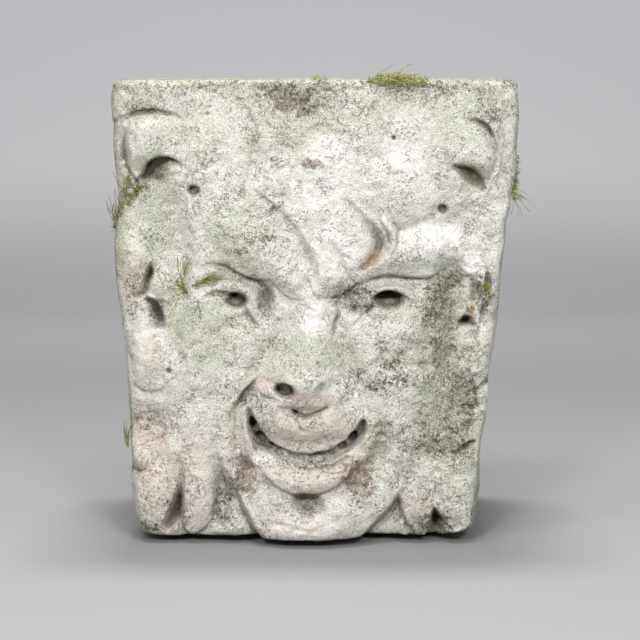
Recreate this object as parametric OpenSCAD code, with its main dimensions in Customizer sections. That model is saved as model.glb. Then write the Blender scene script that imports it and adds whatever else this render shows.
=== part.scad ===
// Stone corbel: a tapering block with a plain tail for the wall and a head
// carved with a grinning mask, two curled horns, ears and leaf lobes.
// Millimetres. X to the viewer's right, the face looks along -Y, Z is up.
// The origin is the middle of the flat back face, which meets the wall.

/* [Block] */
// Height of the stone from its bed to its top
stone_h = 300; // [260:5:380]
// Width of the head across the top edge
top_w = 264; // [225:2:330]
// Width of the head across the foot
foot_w = 224; // [195:2:290]
// How far the middle of the top edge stands right of the centre line
top_shift = 3; // [0:0.5:10]
// How far the middle of the foot stands left of the centre line
foot_shift = 5; // [0:0.5:10]
// Depth from the back face to the tip of the nose
depth = 200; // [168:2:260]
// Length of the plain tail that is built into the wall
tail_l = 90; // [50:5:110]
// How far the tail stands in from the head on each side
tail_inset = 3; // [1:0.5:8]
// Rounding of the upright front corners
corner_r = 22; // [10:1:34]
// How far the front edge of the underside stands above the bed
toe_lift = 6; // [2:0.5:12]
// Length of the flat bed, from the back face forward
bed_l = 112; // [80:2:140]
// Wear of the top front edge, drop
top_wear = 3; // [1:0.5:8]
// Reach of the weathering that softens the carving
wear_w = 2.6; // [1:0.2:4]

/* [Mask] */
// How far the tip of the nose stands out from the ground of the carving
relief = 50; // [38:1:64]
// Lean of the mask's middle line, degrees
mask_lean = 3.9; // [0:0.1:6]
// Width of the face
face_w = 196; // [160:2:230]
// Height of the face
face_h = 300; // [250:5:340]
// Height of the middle of the face
face_z = 142; // [125:1:160]
// Rise of the face above the ground
face_rise = 25; // [16:1:30]

/* [Forehead] */
// Width of the forehead
forehead_w = 104; // [80:2:124]
// Height of the forehead
forehead_h = 150; // [110:5:180]
// Rise of the forehead above the ground
forehead_rise = 31; // [22:1:36]
// Height of the plain band along the top edge
band_h = 15; // [8:1:24]
// Rise of the plain band above the ground
band_rise = 22; // [14:1:28]

/* [Horns] */
// Distance between the middles of the two curls
horn_gap = 166; // [150:2:190]
// Drop of the curls' middle below the top
horn_drop = 54; // [44:1:64]
// Width of a curl, middle of the roll to middle of the roll
horn_w = 60; // [44:2:68]
// Height of a curl above its middle
horn_h = 27; // [20:1:34]
// Thickness of the roll
horn_t = 42; // [28:1:48]
// Rise of the horns above the ground
horn_rise = 30; // [20:1:36]
// Width of the hollow inside a horn's curl
curl_w = 30; // [18:1:38]
// Height of the hollow inside a horn's curl
curl_h = 16; // [10:1:24]
// Depth of the hollow inside a horn's curl
curl_depth = 12; // [6:1:18]

/* [Brows] */
// Distance between the middles of the two brows
brow_gap = 76; // [66:1:92]
// Height of the brows above the bed
brow_z = 191; // [182:1:200]
// Length of a brow
brow_l = 88; // [66:2:100]
// Thickness of a brow
brow_t = 46; // [34:1:54]
// Fall of the brows towards the nose, degrees
brow_fall = 28; // [10:1:38]
// Rise of the brows above the ground
brow_rise = 37; // [30:1:43]

/* [Forelock] */
// Width of the forelock
lock_w = 56; // [40:1:70]
// Length of the forelock
lock_l = 84; // [60:2:100]
// Height of the forelock's lower end above the bed
lock_z = 164; // [156:1:172]
// Rise of the forelock above the ground
lock_rise = 38; // [32:1:44]

/* [Eyes] */
// Distance between the pupils
eye_gap = 99; // [86:1:112]
// Height of the eyes above the bed
eye_z = 160; // [150:1:168]
// Width of an eye
eye_w = 48; // [36:1:58]
// Height of an eye
eye_h = 26; // [20:1:34]
// Rise of the eyeballs above the ground
eye_rise = 26; // [20:1:32]
// Width of a pupil
pupil_w = 16; // [12:1:20]
// Depth of a pupil
pupil_depth = 11; // [6:1:15]
// Width of the hollow between an eye and the nose
socket_w = 26; // [16:1:32]
// Depth of the hollow between an eye and the nose
socket_depth = 11; // [5:1:15]

/* [Nose] */
// Height of the tip of the nose above the bed
nose_z = 104; // [96:1:112]
// Length of the nose
nose_l = 72; // [58:1:80]
// Width of the bridge
bridge_w = 42; // [32:1:50]
// Width across the nostrils
wing_w = 62; // [50:1:74]
// Rise of the bridge above the ground
bridge_rise = 35; // [30:1:42]
// Width of a nostril
nostril_w = 13; // [9:1:17]
// Depth of a nostril
nostril_depth = 10; // [5:1:14]

/* [Mouth] */
// Height of the corners of the mouth above the bed
mouth_z = 91; // [84:1:98]
// Width of the mouth
mouth_w = 84; // [68:1:98]
// Sag of the mouth below its corners
mouth_sag = 38; // [28:1:46]
// Height of the opening at the middle
gape = 10; // [7:0.5:15]
// Depth of the opening
gape_depth = 12; // [6:1:18]
// Thickness of the lower lip
lip_t = 18; // [12:1:24]
// Rise of the lips above the ground
lip_rise = 37; // [30:1:44]
// Depth of the fold round the mouth
fold_depth = 9; // [4:1:14]

/* [Cheeks and chin] */
// Distance between the middles of the cheeks
cheek_gap = 128; // [110:2:146]
// Height of the cheeks above the bed
cheek_z = 122; // [112:1:132]
// Width of a cheek
cheek_w = 66; // [50:2:80]
// Height of a cheek
cheek_h = 84; // [60:2:100]
// Rise of the cheeks above the ground
cheek_rise = 33; // [26:1:40]
// Width of the chin
chin_w = 92; // [70:2:110]
// Height of the chin
chin_h = 60; // [44:2:76]
// Height of the middle of the chin above the bed
chin_z = 14; // [8:1:24]
// Rise of the chin above the ground
chin_rise = 39; // [30:1:46]

/* [Ears] */
// Distance between the ears
ear_gap = 206; // [190:2:220]
// Height of the ears' hole above the bed
ear_z = 152; // [142:1:162]
// Width of an ear
ear_w = 32; // [22:1:40]
// Height of an ear
ear_h = 120; // [90:2:140]
// Rise of the ears above the ground
ear_rise = 20; // [12:1:26]
// Width of the ear hole
ear_hole = 18; // [13:1:22]
// Depth of the ear hole
ear_depth = 12; // [6:1:16]

/* [Leaf lobes] */
// Number of leaf lobes at each lower corner
lobes = 2; // [1:1:3]
// Height of the foot lobes
lobe_h = 66; // [44:2:84]
// Width of a foot lobe
lobe_w = 32; // [22:1:40]
// Rise of the foot lobes above the ground
lobe_rise = 25; // [16:1:32]
// Depth of the drilled hollows between the lobes
lobe_depth = 12; // [6:1:16]
// Height of the side lobes under the ears
tress_h = 52; // [34:2:70]
// Rise of the side lobes above the ground
tress_rise = 18; // [12:1:26]

/* [Fineness] */
// Number of strips across the front
cols = 52; // [36:1:56]
// Number of strips round each corner
bend_cols = 4; // [3:1:5]
// Number of strips up the head
rows = 60; // [40:1:62]

/* [Hidden] */
ground = depth - relief;
head_l = ground - tail_l;
over = 4;

// ---- small helpers --------------------------------------------------
function mix(a, b, t) = a + (b - a) * t;
function clamp(t) = min(1, max(0, t));
function ease(t) = let(c = clamp(t)) c * c * (3 - 2 * c);
function smax(a, b, k) = let(h = max(k - abs(a - b), 0) / k) max(a, b) + h * h * k / 4;

// square of the distance from a turned ellipse's middle, 1 on its rim
function oval(x, z, cx, cz, rx, rz, turn) =
  let(dx = x - cx, dz = z - cz)
  let(u = (dx * cos(turn) + dz * sin(turn)) / rx)
  let(v = (dz * cos(turn) - dx * sin(turn)) / rz)
  u * u + v * v;

// a rounded lobe that rises from lo to hi and falls away outside its rim
function lobe(q, lo, hi) = q < 1 ? lo + (hi - lo) * pow(1 - q, 0.85) : lo - 14 * (q - 1);

// a rounded hollow of the given depth
function hollow(q, dep) = q < 1 ? dep * pow(1 - q, 1.4) : 0;

// distance from a straight line between two points
function seg(x, z, ax, az, bx, bz) =
  let(ux = bx - ax, uz = bz - az)
  let(t = clamp(((x - ax) * ux + (z - az) * uz) / (ux * ux + uz * uz)))
  norm([x - ax - t * ux, z - az - t * uz]);

// a groove of half width w, deepest on its line
function groove(d, w, dep) = dep * (1 - ease(d / w));

// distance outside an ellipse's rim
function rim(x, z, cx, cz, rx, rz) =
  let(q = norm([(x - cx) / rx, (z - cz) / rz]))
  q < 0.05 ? -min(rx, rz) : (q - 1) * norm([x - cx, z - cz]) / q;

// ---- block ----------------------------------------------------------
function side_x(z, s) =
  let(t = clamp(z / stone_h))
  let(mid = mix(-foot_shift, top_shift, t))
  let(half = mix(foot_w / 2, top_w / 2, pow(t, 0.8)))
  mid + s * half;

function axis_x(z) = (z - 130) * tan(mask_lean);

// ---- carving, height above the ground -------------------------------
// pieces on both sides: s is -1 on the left, 1 on the right

function forehead(x, z) =
  lobe(oval(x, z, 0, 236, forehead_w / 2, forehead_h / 2, 0), 12, forehead_rise);

function band(x, z) =
  let(t = (stone_h - z) / band_h)
  band_rise - 18 * ease(t - 0.4) - 10 * max(0, t - 1.4);

function horn(x, z, s) =
  let(cx = s * horn_gap / 2, cz = stone_h - horn_drop)
  let(d = rim(x, z, cx, cz, horn_w / 2, horn_h) / (horn_t / 2))
  let(low = ease((cz + 6 - z) / 56))
  lobe(d * d + low * 1.2, 14, horn_rise);

function horn_cut(x, z, s) =
  let(cx = s * (horn_gap / 2 + 13), cz = stone_h - horn_drop - 4)
  hollow(oval(x, z, cx, cz, curl_w / 2, curl_h / 2, -s * 24), curl_depth);

function brow(x, z, s) =
  let(cx = s * brow_gap / 2 + (s < 0 ? 0 : 8))
  lobe(oval(x, z, cx, brow_z, brow_l / 2, brow_t / 2, s * brow_fall), 14, brow_rise);

function temple(x, z, s) =
  lobe(oval(x, z, s * (brow_gap / 2 + 36), brow_z + 20, 29, 27, s * 30), 16, 29);

function lock(x, z) =
  lobe(oval(x, z, 7, lock_z + lock_l / 2, lock_w / 2, lock_l / 2, -12), 24, lock_rise);

function cheek(x, z, s) =
  lobe(oval(x, z, s * cheek_gap / 2, cheek_z, cheek_w / 2, cheek_h / 2, s * 8), 14, cheek_rise);

function chin(x, z) =
  lobe(oval(x, z, 0, chin_z, chin_w / 2, chin_h / 2, 0), 12, chin_rise);

function ear(x, z, s) =
  let(cx = s * ear_gap / 2)
  let(top = lobe(oval(x, z, cx, ear_z + ear_h * 0.28, ear_w / 2, ear_h * 0.26, s * 10), 4, ear_rise))
  let(low = lobe(oval(x, z, cx + s, ear_z - ear_h * 0.24, ear_w * 0.44, ear_h * 0.27, 0), 4, ear_rise))
  smax(top, low, 4);

function ear_cut(x, z, s) =
  hollow(oval(x, z, s * (ear_gap / 2 - 4), ear_z, ear_hole / 2, ear_hole * 0.9, 0), ear_depth);

function tress(x, z, s) =
  lobe(oval(x, z, s * 101, lobe_h + tress_h * 0.3, 17, tress_h / 2, s * 10), 3, tress_rise);

function foot_lobe(x, z, s, i) =
  let(cx = s * (106 - i * (lobe_w - 5)))
  lobe(oval(x, z, cx, 24 + i * 5, lobe_w / 2, lobe_h / 2, s * 6), 4, lobe_rise + i);

function foot_lobes(x, z, s, i) =
  i >= lobes ? -50 : smax(foot_lobe(x, z, s, i), foot_lobes(x, z, s, i + 1), 3);

function foot_cut(x, z, s, i) =
  i >= lobes ? 0 :
  let(cx = s * (106 - lobe_w / 2 + 1 - i * (lobe_w - 5)))
  max(hollow(oval(x, z, cx, 14 + i * 10, 8.5, 22, -s * 8), lobe_depth), foot_cut(x, z, s, i + 1));

function socket(x, z, s) =
  let(h1 = hollow(oval(x, z, s * (eye_gap / 2 - 22), eye_z + 2, socket_w / 2, 22, s * 24), socket_depth))
  let(h2 = hollow(oval(x, z, s * eye_gap / 2, eye_z - 1, eye_w * 0.66, eye_h * 0.82, -s * 10), 9))
  max(h1, h2);

function eyeball(x, z, s) =
  lobe(oval(x, z, s * eye_gap / 2, eye_z - 1, eye_w / 2, eye_h / 2, -s * 14), 14, eye_rise);

function pupil(x, z, s) =
  hollow(oval(x, z, s * eye_gap / 2, eye_z, pupil_w / 2, pupil_w * 0.42, 0), pupil_depth);

function nose(x, z) =
  let(t = clamp((z - nose_z) / nose_l))
  let(w = mix(wing_w * 0.42, bridge_w / 2, ease(t * 1.4)))
  let(top = mix(relief, bridge_rise, ease(t * 1.1)))
  let(drop = ease((nose_z - z) / 20) * 34)
  let(rise = ease((z - nose_z - nose_l) / 24) * 30)
  let(u = abs(x / w))
  let(ridge = (u < 1 ? mix(18, top, 1 - u * u) : 18 - 14 * (u - 1)) - drop - rise)
  let(wl = lobe(oval(x, z, 14 - wing_w / 2, nose_z - 2, 16, 13, 0), 24, relief - 10))
  let(wr = lobe(oval(x, z, wing_w / 2 - 14, nose_z - 2, 16, 13, 0), 24, relief - 10))
  smax(smax(ridge, wl, 8), wr, 8);

function nostril(x, z, s) =
  hollow(oval(x, z, s * wing_w * 0.24, nose_z - 7, nostril_w / 2, nostril_w * 0.45, 0), nostril_depth);

function lips(x, z) =
  let(up = lobe(oval(x, z, 0, mouth_z - 8, mouth_w / 2 - 3, mouth_sag * 0.74, 0), 18, lip_rise))
  let(d = rim(x, z, 0, mouth_z, mouth_w / 2 + 2, mouth_sag + gape / 2 + lip_t / 2) / (lip_t / 2))
  let(side = ease((mouth_z + 10 - z) / 30))
  let(low = abs(d) < 1 ? mix(16, lip_rise, pow(1 - d * d, 0.85) * side) : 16 - 10 * (abs(d) - 1))
  smax(up, low, 3);

function gap(x, z) =
  let(d = abs(rim(x, z, 0, mouth_z, mouth_w / 2, mouth_sag)))
  let(on = ease((mouth_z + 5 - z) / 10))
  groove(d, gape * 0.8, gape_depth * on);

function fold(x, z) =
  let(rz = z > mouth_z ? 26 : mouth_sag + gape / 2 + lip_t + 3)
  let(d = abs(rim(x, z, 0, mouth_z, mouth_w / 2 + 9, rz)))
  groove(d, 11, fold_depth);

// the mask and its surround seen from the front
function carving(xx, z) =
  let(x = xx - axis_x(z))
  let(face = lobe(oval(x, z, 0, face_z, face_w / 2, face_h / 2, 0), 4, face_rise))
  let(a0 = smax(smax(5, face, 10), band(x, z), 6))
  let(a1 = smax(a0, forehead(x, z), 8))
  let(a2 = smax(a1, max(horn(xx, z, -1), horn(xx, z, 1)), 5))
  let(a3 = smax(a2, max(ear(xx, z, -1), ear(xx, z, 1)), 4))
  let(a4 = smax(a3, max(tress(xx, z, -1), tress(xx, z, 1)), 4))
  let(a5 = smax(a4, max(foot_lobes(xx, z, -1, 0), foot_lobes(xx, z, 1, 0)), 4))
  let(a6 = smax(a5, max(cheek(x, z, -1), cheek(x, z, 1)), 9))
  let(a7 = smax(a6, max(temple(x, z, -1), temple(x, z, 1)), 7))
  let(a8 = smax(a7, chin(x, z), 5))
  let(c1 = max(horn_cut(xx, z, -1), horn_cut(xx, z, 1)))
  let(c2 = max(ear_cut(xx, z, -1), ear_cut(xx, z, 1)))
  let(c3 = max(foot_cut(xx, z, -1, 0), foot_cut(xx, z, 1, 0)))
  let(c4 = max(socket(x, z, -1), socket(x, z, 1)))
  let(b1 = a8 - max(max(c1, c2), max(c3, max(c4, fold(x, z)))))
  let(b2 = smax(b1, max(brow(x, z, -1), brow(x, z, 1)), 4))
  let(b3 = smax(b2, lock(x, z), 4))
  let(b4 = smax(b3, max(eyeball(x, z, -1), eyeball(x, z, 1)), 3))
  let(b5 = smax(b4, lips(x, z), 3))
  let(b6 = smax(b5 - gap(x, z), nose(x, z), 4))
  let(c5 = max(pupil(x, z, -1), pupil(x, z, 1)))
  let(c6 = max(nostril(x, z, -1), nostril(x, z, 1)))
  min(relief, max(0, b6 - max(c5, c6)));

// the carving worn soft: its mean over a small cross
function worn(x, z) =
  let(w = wear_w)
  (carving(x, z) + carving(x - w, z) + carving(x + w, z) + carving(x, z - w) + carving(x, z + w)) / 5;

// gentle swelling of the carved sides: horn, ear and lobes run round
function side_swell(y, z) =
  let(h = lobe(oval(y, z, -ground + 16, stone_h - horn_drop, 40, horn_h / 2, 0), 0, 4))
  let(e = lobe(oval(y, z, -ground + 14, ear_z + 22, 26, ear_h * 0.42, 0), 0, 2.5))
  let(l = lobe(oval(y, z, -ground + 14, lobe_h * 0.6, 30, lobe_h / 2, 0), 0, 2.5))
  max(0, max(h, max(e, l)));

// ---- the skin of the head -------------------------------------------
// one row of points round the head at height z, from back left to back right
function ring(z) =
  let(xl = side_x(z, -1), xr = side_x(z, 1))
  let(cl = xl + corner_r, cr = xr - corner_r)
  concat(
    [[xl + tail_inset, over, z], [xl + tail_inset, -tail_l, z]],
    [for (t = [0:0.5:0.99]) put(xl, mix(-tail_l, -ground + corner_r, t), -1, 0, z)],
    [for (i = [0:bend_cols - 1]) bend(cl, 180 + 90 * i / bend_cols, z)],
    [for (i = [0:cols - 1]) put(mix(cl, cr, i / cols), -ground, 0, -1, z)],
    [for (i = [0:bend_cols - 1]) bend(cr, 270 + 90 * i / bend_cols, z)],
    [for (t = [0:0.5:1]) put(xr, mix(-ground + corner_r, -tail_l, t), 1, 0, z)],
    [[xr - tail_inset, -tail_l, z], [xr - tail_inset, over, z]]
  );

function bend(cx, a, z) =
  put(cx + corner_r * cos(a), -ground + corner_r + corner_r * sin(a), cos(a), sin(a), z);

function put(x, y, nx, ny, z) =
  let(root = ease((-tail_l - y) / 14))
  let(out = side_swell(y, z) * abs(nx) * root)
  let(wear = top_wear * ease((z - stone_h + 10) / 10))
  let(fwd = ny > -0.05 ? 0 : max(0, worn(x, z) - wear) * pow(-ny, 0.8))
  [x + nx * out, y - fwd, z];

// two triangles over one cell, split along its shorter diagonal
function cell(p, a, b, c, d) =
  norm(p[a] - p[d]) < norm(p[b] - p[c]) ? [[a, c, d], [a, d, b]] : [[a, c, b], [b, c, d]];

module head() {
  zs = [for (j = [0:rows]) mix(-over, stone_h + over, j / rows)];
  n = len(ring(0));
  pts = [for (z = zs) each ring(z)];
  skin_faces = [
    for (j = [0:rows - 1])
      for (i = [0:n - 2])
        each cell(pts, j * n + i, j * n + i + 1, (j + 1) * n + i, (j + 1) * n + i + 1)
  ];
  back_faces = [
    for (j = [0:rows - 1])
      let(a = j * n, b = a + n - 1, c = a + n, d = c + n - 1)
      each [[a, b, d], [a, d, c]]
  ];
  foot = [for (i = [1:n - 2]) [0, i, i + 1]];
  top = [for (i = [1:n - 2]) [rows * n, rows * n + i + 1, rows * n + i]];
  polyhedron(pts, concat(skin_faces, back_faces, foot, top), 6);
}

// the flat faces: back, bed, sloping toe and top, as seen from the side
module trim() {
  front = depth + 10;
  toe = toe_lift * (front - bed_l) / (ground - bed_l);
  rotate([90, 0, 90])
    translate([0, 0, -top_w])
      linear_extrude(2 * top_w)
        polygon([[0, 0], [0, stone_h], [-front, stone_h], [-front, toe], [-bed_l, 0]]);
}

module corbel() {
  color([0.78, 0.77, 0.73])
    translate([0, 0, -stone_h / 2])
      intersection() {
        head();
        trim();
      }
}

corbel();
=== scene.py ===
# Weathered stone corbel carved with a grinning mask.
# Pieces are in metres: X to the viewer's right, the face looks along -Y, Z up, and the origin is
# the middle of the flat back. The carving is worked out in millimetres: x across, z up from the
# bed, and heights that stand out from the ground of the carving.
import math

import bpy
import numpy as np
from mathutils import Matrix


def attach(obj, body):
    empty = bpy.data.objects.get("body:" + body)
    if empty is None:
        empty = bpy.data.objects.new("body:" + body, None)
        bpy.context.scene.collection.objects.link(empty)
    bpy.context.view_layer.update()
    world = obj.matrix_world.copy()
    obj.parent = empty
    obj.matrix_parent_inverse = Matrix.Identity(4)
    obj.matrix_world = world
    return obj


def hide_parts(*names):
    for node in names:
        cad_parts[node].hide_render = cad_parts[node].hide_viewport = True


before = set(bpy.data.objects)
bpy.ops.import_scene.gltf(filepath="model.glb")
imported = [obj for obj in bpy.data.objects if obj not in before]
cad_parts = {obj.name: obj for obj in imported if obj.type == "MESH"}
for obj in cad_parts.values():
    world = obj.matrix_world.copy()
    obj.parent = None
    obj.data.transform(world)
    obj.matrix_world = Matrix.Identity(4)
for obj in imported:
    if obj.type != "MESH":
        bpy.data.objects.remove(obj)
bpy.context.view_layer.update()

import openvdb
from mathutils import Vector

MM = 0.001  # metres in a millimetre
HEIGHT = 300.0
GROUND = 150.0  # from the flat back to the ground of the carving
TAIL = 90.0  # length of the plain tail that is built into the wall
BED = 112.0  # length of the flat bed
TOE = 4.5  # rise of the underside from the end of the bed to the front
ARRIS = 13.0  # rounding of the front's upright edges
VOXEL = 1.0  # spacing of the lattice the stone is made on
STEP = 0.5  # spacing of the canvas the carving is drawn on
TRIANGLES = 192_000
SEED = 41


# ---- numbers that wander --------------------------------------------------


def smooth(t):
    """0 up to t = 0, 1 from t = 1, and an easy curve between."""
    t = np.clip(t, 0.0, 1.0)
    return t * t * (3.0 - 2.0 * t)


def soft_max(a, b, k):
    """The greater of two surfaces, blended where they are within k of each other."""
    h = np.maximum(k - np.abs(a - b), 0.0) / k
    return np.maximum(a, b) + h * h * (k * 0.25)


def wander2(x, z, size, seed, octaves=3, gain=0.5):
    """Smooth noise from -1 to 1 over a plane; size is the length of its largest waves."""
    out, total, n = np.zeros(np.shape(x)), 0.0, 256
    for o in range(octaves):
        table = np.random.default_rng(seed + o * 101).random((n, n)) * 2 - 1
        u, v = x / size + 37.1 * o, z / size + 11.7 * o
        iu, iv = np.floor(u).astype(int), np.floor(v).astype(int)
        fu, fv = smooth(u - iu), smooth(v - iv)
        low = table[iu % n, iv % n] * (1 - fu) + table[(iu + 1) % n, iv % n] * fu
        high = table[iu % n, (iv + 1) % n] * (1 - fu) + table[(iu + 1) % n, (iv + 1) % n] * fu
        out += gain**o * (low * (1 - fv) + high * fv)
        total += gain**o
        size = size / 2.1
    return out / total


def wander3(p, size, seed, octaves=2):
    """The same through space, for an array of points; each finer wave is half as strong."""
    out, total, n = np.zeros(len(p)), 0.0, 64
    for o in range(octaves):
        table = (np.random.default_rng(seed + o * 77).random((n, n, n)) * 2 - 1).astype(np.float32)
        q = p / size + 19.3 * o
        i = np.floor(q).astype(np.int32)
        f = smooth(q - i)
        value = np.zeros(len(p))
        for corner in range(8):
            d = [(corner >> k) & 1 for k in range(3)]
            w = 1.0
            for k in range(3):
                w = w * (f[:, k] if d[k] else 1 - f[:, k])
            j = [(i[:, k] + d[k]) % n for k in range(3)]
            value += w * table[j[0], j[1], j[2]]
        out += 0.5**o * value
        total += 0.5**o
        size = size / 2.1
    return out / total


def blurred(a, sigma, step):
    """a, softened over sigma in both directions."""
    r = int(max(1, round(sigma / step * 3)))
    k = np.exp(-0.5 * (np.arange(-r, r + 1) * step / sigma) ** 2)
    k /= k.sum()
    for axis in (0, 1):
        pad = [(r, r) if i == axis else (0, 0) for i in (0, 1)]
        b = np.pad(a, pad, mode="edge")
        n = a.shape[axis]
        a = sum(w * np.take(b, range(i, i + n), axis=axis) for i, w in enumerate(k))
    return a


# ---- the carver's tools ---------------------------------------------------


def through(rows, per_span=8):
    """A smooth line through the rows; every column is carried along."""
    p = np.array(rows, float)
    if len(p) == 2:
        t = np.linspace(0, 1, per_span)[:, None]
        return p[0] * (1 - t) + p[1] * t
    q = np.vstack([2 * p[0] - p[1], p, 2 * p[-1] - p[-2]])
    out = []
    for a, b, c, d in zip(q[:-3], q[1:-2], q[2:-1], q[3:]):
        for t in np.linspace(0, 1, per_span, endpoint=False):
            bow = (2 * a - 5 * b + 4 * c - d) * t**2 + (3 * b - a - 3 * c + d) * t**3
            out.append(0.5 * (2 * b + (c - a) * t + bow))
    out.append(p[-1])
    return np.array(out)


class Canvas:
    """The front of the stone as heights above the ground of the carving."""

    def __init__(self):
        self.xs = np.arange(-140.0, 144.0, STEP)
        self.zs = np.arange(-4.0, HEIGHT + 4.0, STEP)
        x, z = np.meshgrid(self.xs, self.zs)
        self.x0, self.z0 = x, z
        # every line and mass strays a little, as hand work and wear leave it
        self.x = x + wander2(x, z, 34, SEED + 1) * 1.6 + wander2(x, z, 9, SEED + 2) * 0.5
        self.z = z + wander2(x, z, 34, SEED + 3) * 1.6 + wander2(x, z, 9, SEED + 4) * 0.5
        self.h = np.zeros(x.shape)

    def oval(self, cx, cz, rx, rz, turn):
        """0 in the middle of a turned oval, 1 on its edge."""
        a = math.radians(turn)
        dx, dz = self.x - cx, self.z - cz
        u = (dx * math.cos(a) + dz * math.sin(a)) / rx
        v = (dz * math.cos(a) - dx * math.sin(a)) / rz
        return u * u + v * v

    def near(self, rows, reach):
        """For the canvas near a line: its window, the distance, the side and the rows' values."""
        c = through(rows)
        i = np.searchsorted(self.xs, [c[:, 0].min() - reach - 2, c[:, 0].max() + reach + 2])
        j = np.searchsorted(self.zs, [c[:, 1].min() - reach - 2, c[:, 1].max() + reach + 2])
        win = (slice(*j), slice(*i))
        x, z = self.x[win], self.z[win]
        best, side = np.full(x.shape, 1e9), np.zeros(x.shape)
        values = np.zeros(x.shape + (c.shape[1] - 2,))
        for a, b in zip(c[:-1], c[1:]):
            ux, uz = b[0] - a[0], b[1] - a[1]
            t = np.clip(((x - a[0]) * ux + (z - a[1]) * uz) / (ux * ux + uz * uz + 1e-9), 0, 1)
            dx, dz = x - a[0] - t * ux, z - a[1] - t * uz
            d = dx * dx + dz * dz
            closer = d < best
            best = np.where(closer, d, best)
            side = np.where(closer, np.sign(ux * dz - uz * dx), side)
            t = t[..., None]
            values = np.where(closer[..., None], a[2:] * (1 - t) + b[2:] * t, values)
        return win, np.sqrt(best), side, values

    def swell(self, cx, cz, rx, rz, turn, low, high, k, power):
        """A rounded mass, low at its oval edge and high in the middle, merged into the rest."""
        q = self.oval(cx, cz, rx, rz, turn)
        dome = low + (high - low) * np.clip(1 - q, 0, 1) ** power
        self.h = soft_max(self.h, np.where(q < 1, dome, low - 14 * (q - 1)), k)

    def lift(self, cx, cz, rx, rz, turn, amount):
        """Raises the surface gently inside an oval, or sinks it."""
        self.h = self.h + amount * np.clip(1 - self.oval(cx, cz, rx, rz, turn), 0, 1)

    def roll(self, rows, k, power=0.55):
        """A rounded ridge along a line. Rows are x, z, half width, edge height, crest height."""
        win, d, _, v = self.near(rows, max(r[2] for r in rows) * 1.6 + 3)
        t = d / v[..., 0]
        low, high = v[..., 1], v[..., 2]
        crest = low + (high - low) * np.clip(1 - t * t, 0, 1) ** power
        ridge = np.where(t < 1, crest, low - 10 * (t - 1))
        self.h[win] = soft_max(self.h[win], np.where(t < 1.6, ridge, -99), k)

    def cut(self, rows, sharp=1.0):
        """A groove along a line. Rows are x, z, half width, depth.
        A sharp over 1 widens its floor."""
        win, d, _, v = self.near(rows, max(r[2] for r in rows) + 1)
        t = np.clip(d / v[..., 0], 0, 1)
        self.h[win] -= v[..., 1] * (1 - smooth(t**sharp))

    def under(self, rows, hand=1):
        """Sinks one side of a line, steep at the line and rising back to nothing at its reach.
        Rows are x, z, reach, depth, width of the edge; hand 1 sinks the right of its run."""
        win, d, side, v = self.near(rows, max(r[2] for r in rows) + 2)
        s = -d * side * hand
        ramp = (1 - np.clip(s / v[..., 0], 0, 1)) ** 1.6
        edge = smooth(s / v[..., 2] + 0.5)
        end = np.clip(1 - (d - v[..., 0]) / 2.0, 0, 1)
        self.h[win] -= v[..., 1] * ramp * edge * end

    def hole(self, cx, cz, rx, rz, turn, depth, edge=0.35):
        """A drilled or broken hole with a soft rim."""
        q = np.sqrt(self.oval(cx, cz, rx, rz, turn))
        self.h = self.h - depth * (1 - smooth((q - (1 - edge)) / (2 * edge)))

    def at(self, values, x, z):
        """values, which lie on the canvas, at points given in millimetres."""
        u = np.clip((x - self.xs[0]) / STEP, 0, len(self.xs) - 1.001)
        v = np.clip((z - self.zs[0]) / STEP, 0, len(self.zs) - 1.001)
        i, j = u.astype(int), v.astype(int)
        fu, fv = u - i, v - j
        low = values[j, i] * (1 - fu) + values[j, i + 1] * fu
        high = values[j + 1, i] * (1 - fu) + values[j + 1, i + 1] * fu
        return low * (1 - fv) + high * fv


# ---- the carving, from the first masses to the last cuts -------------------


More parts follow.
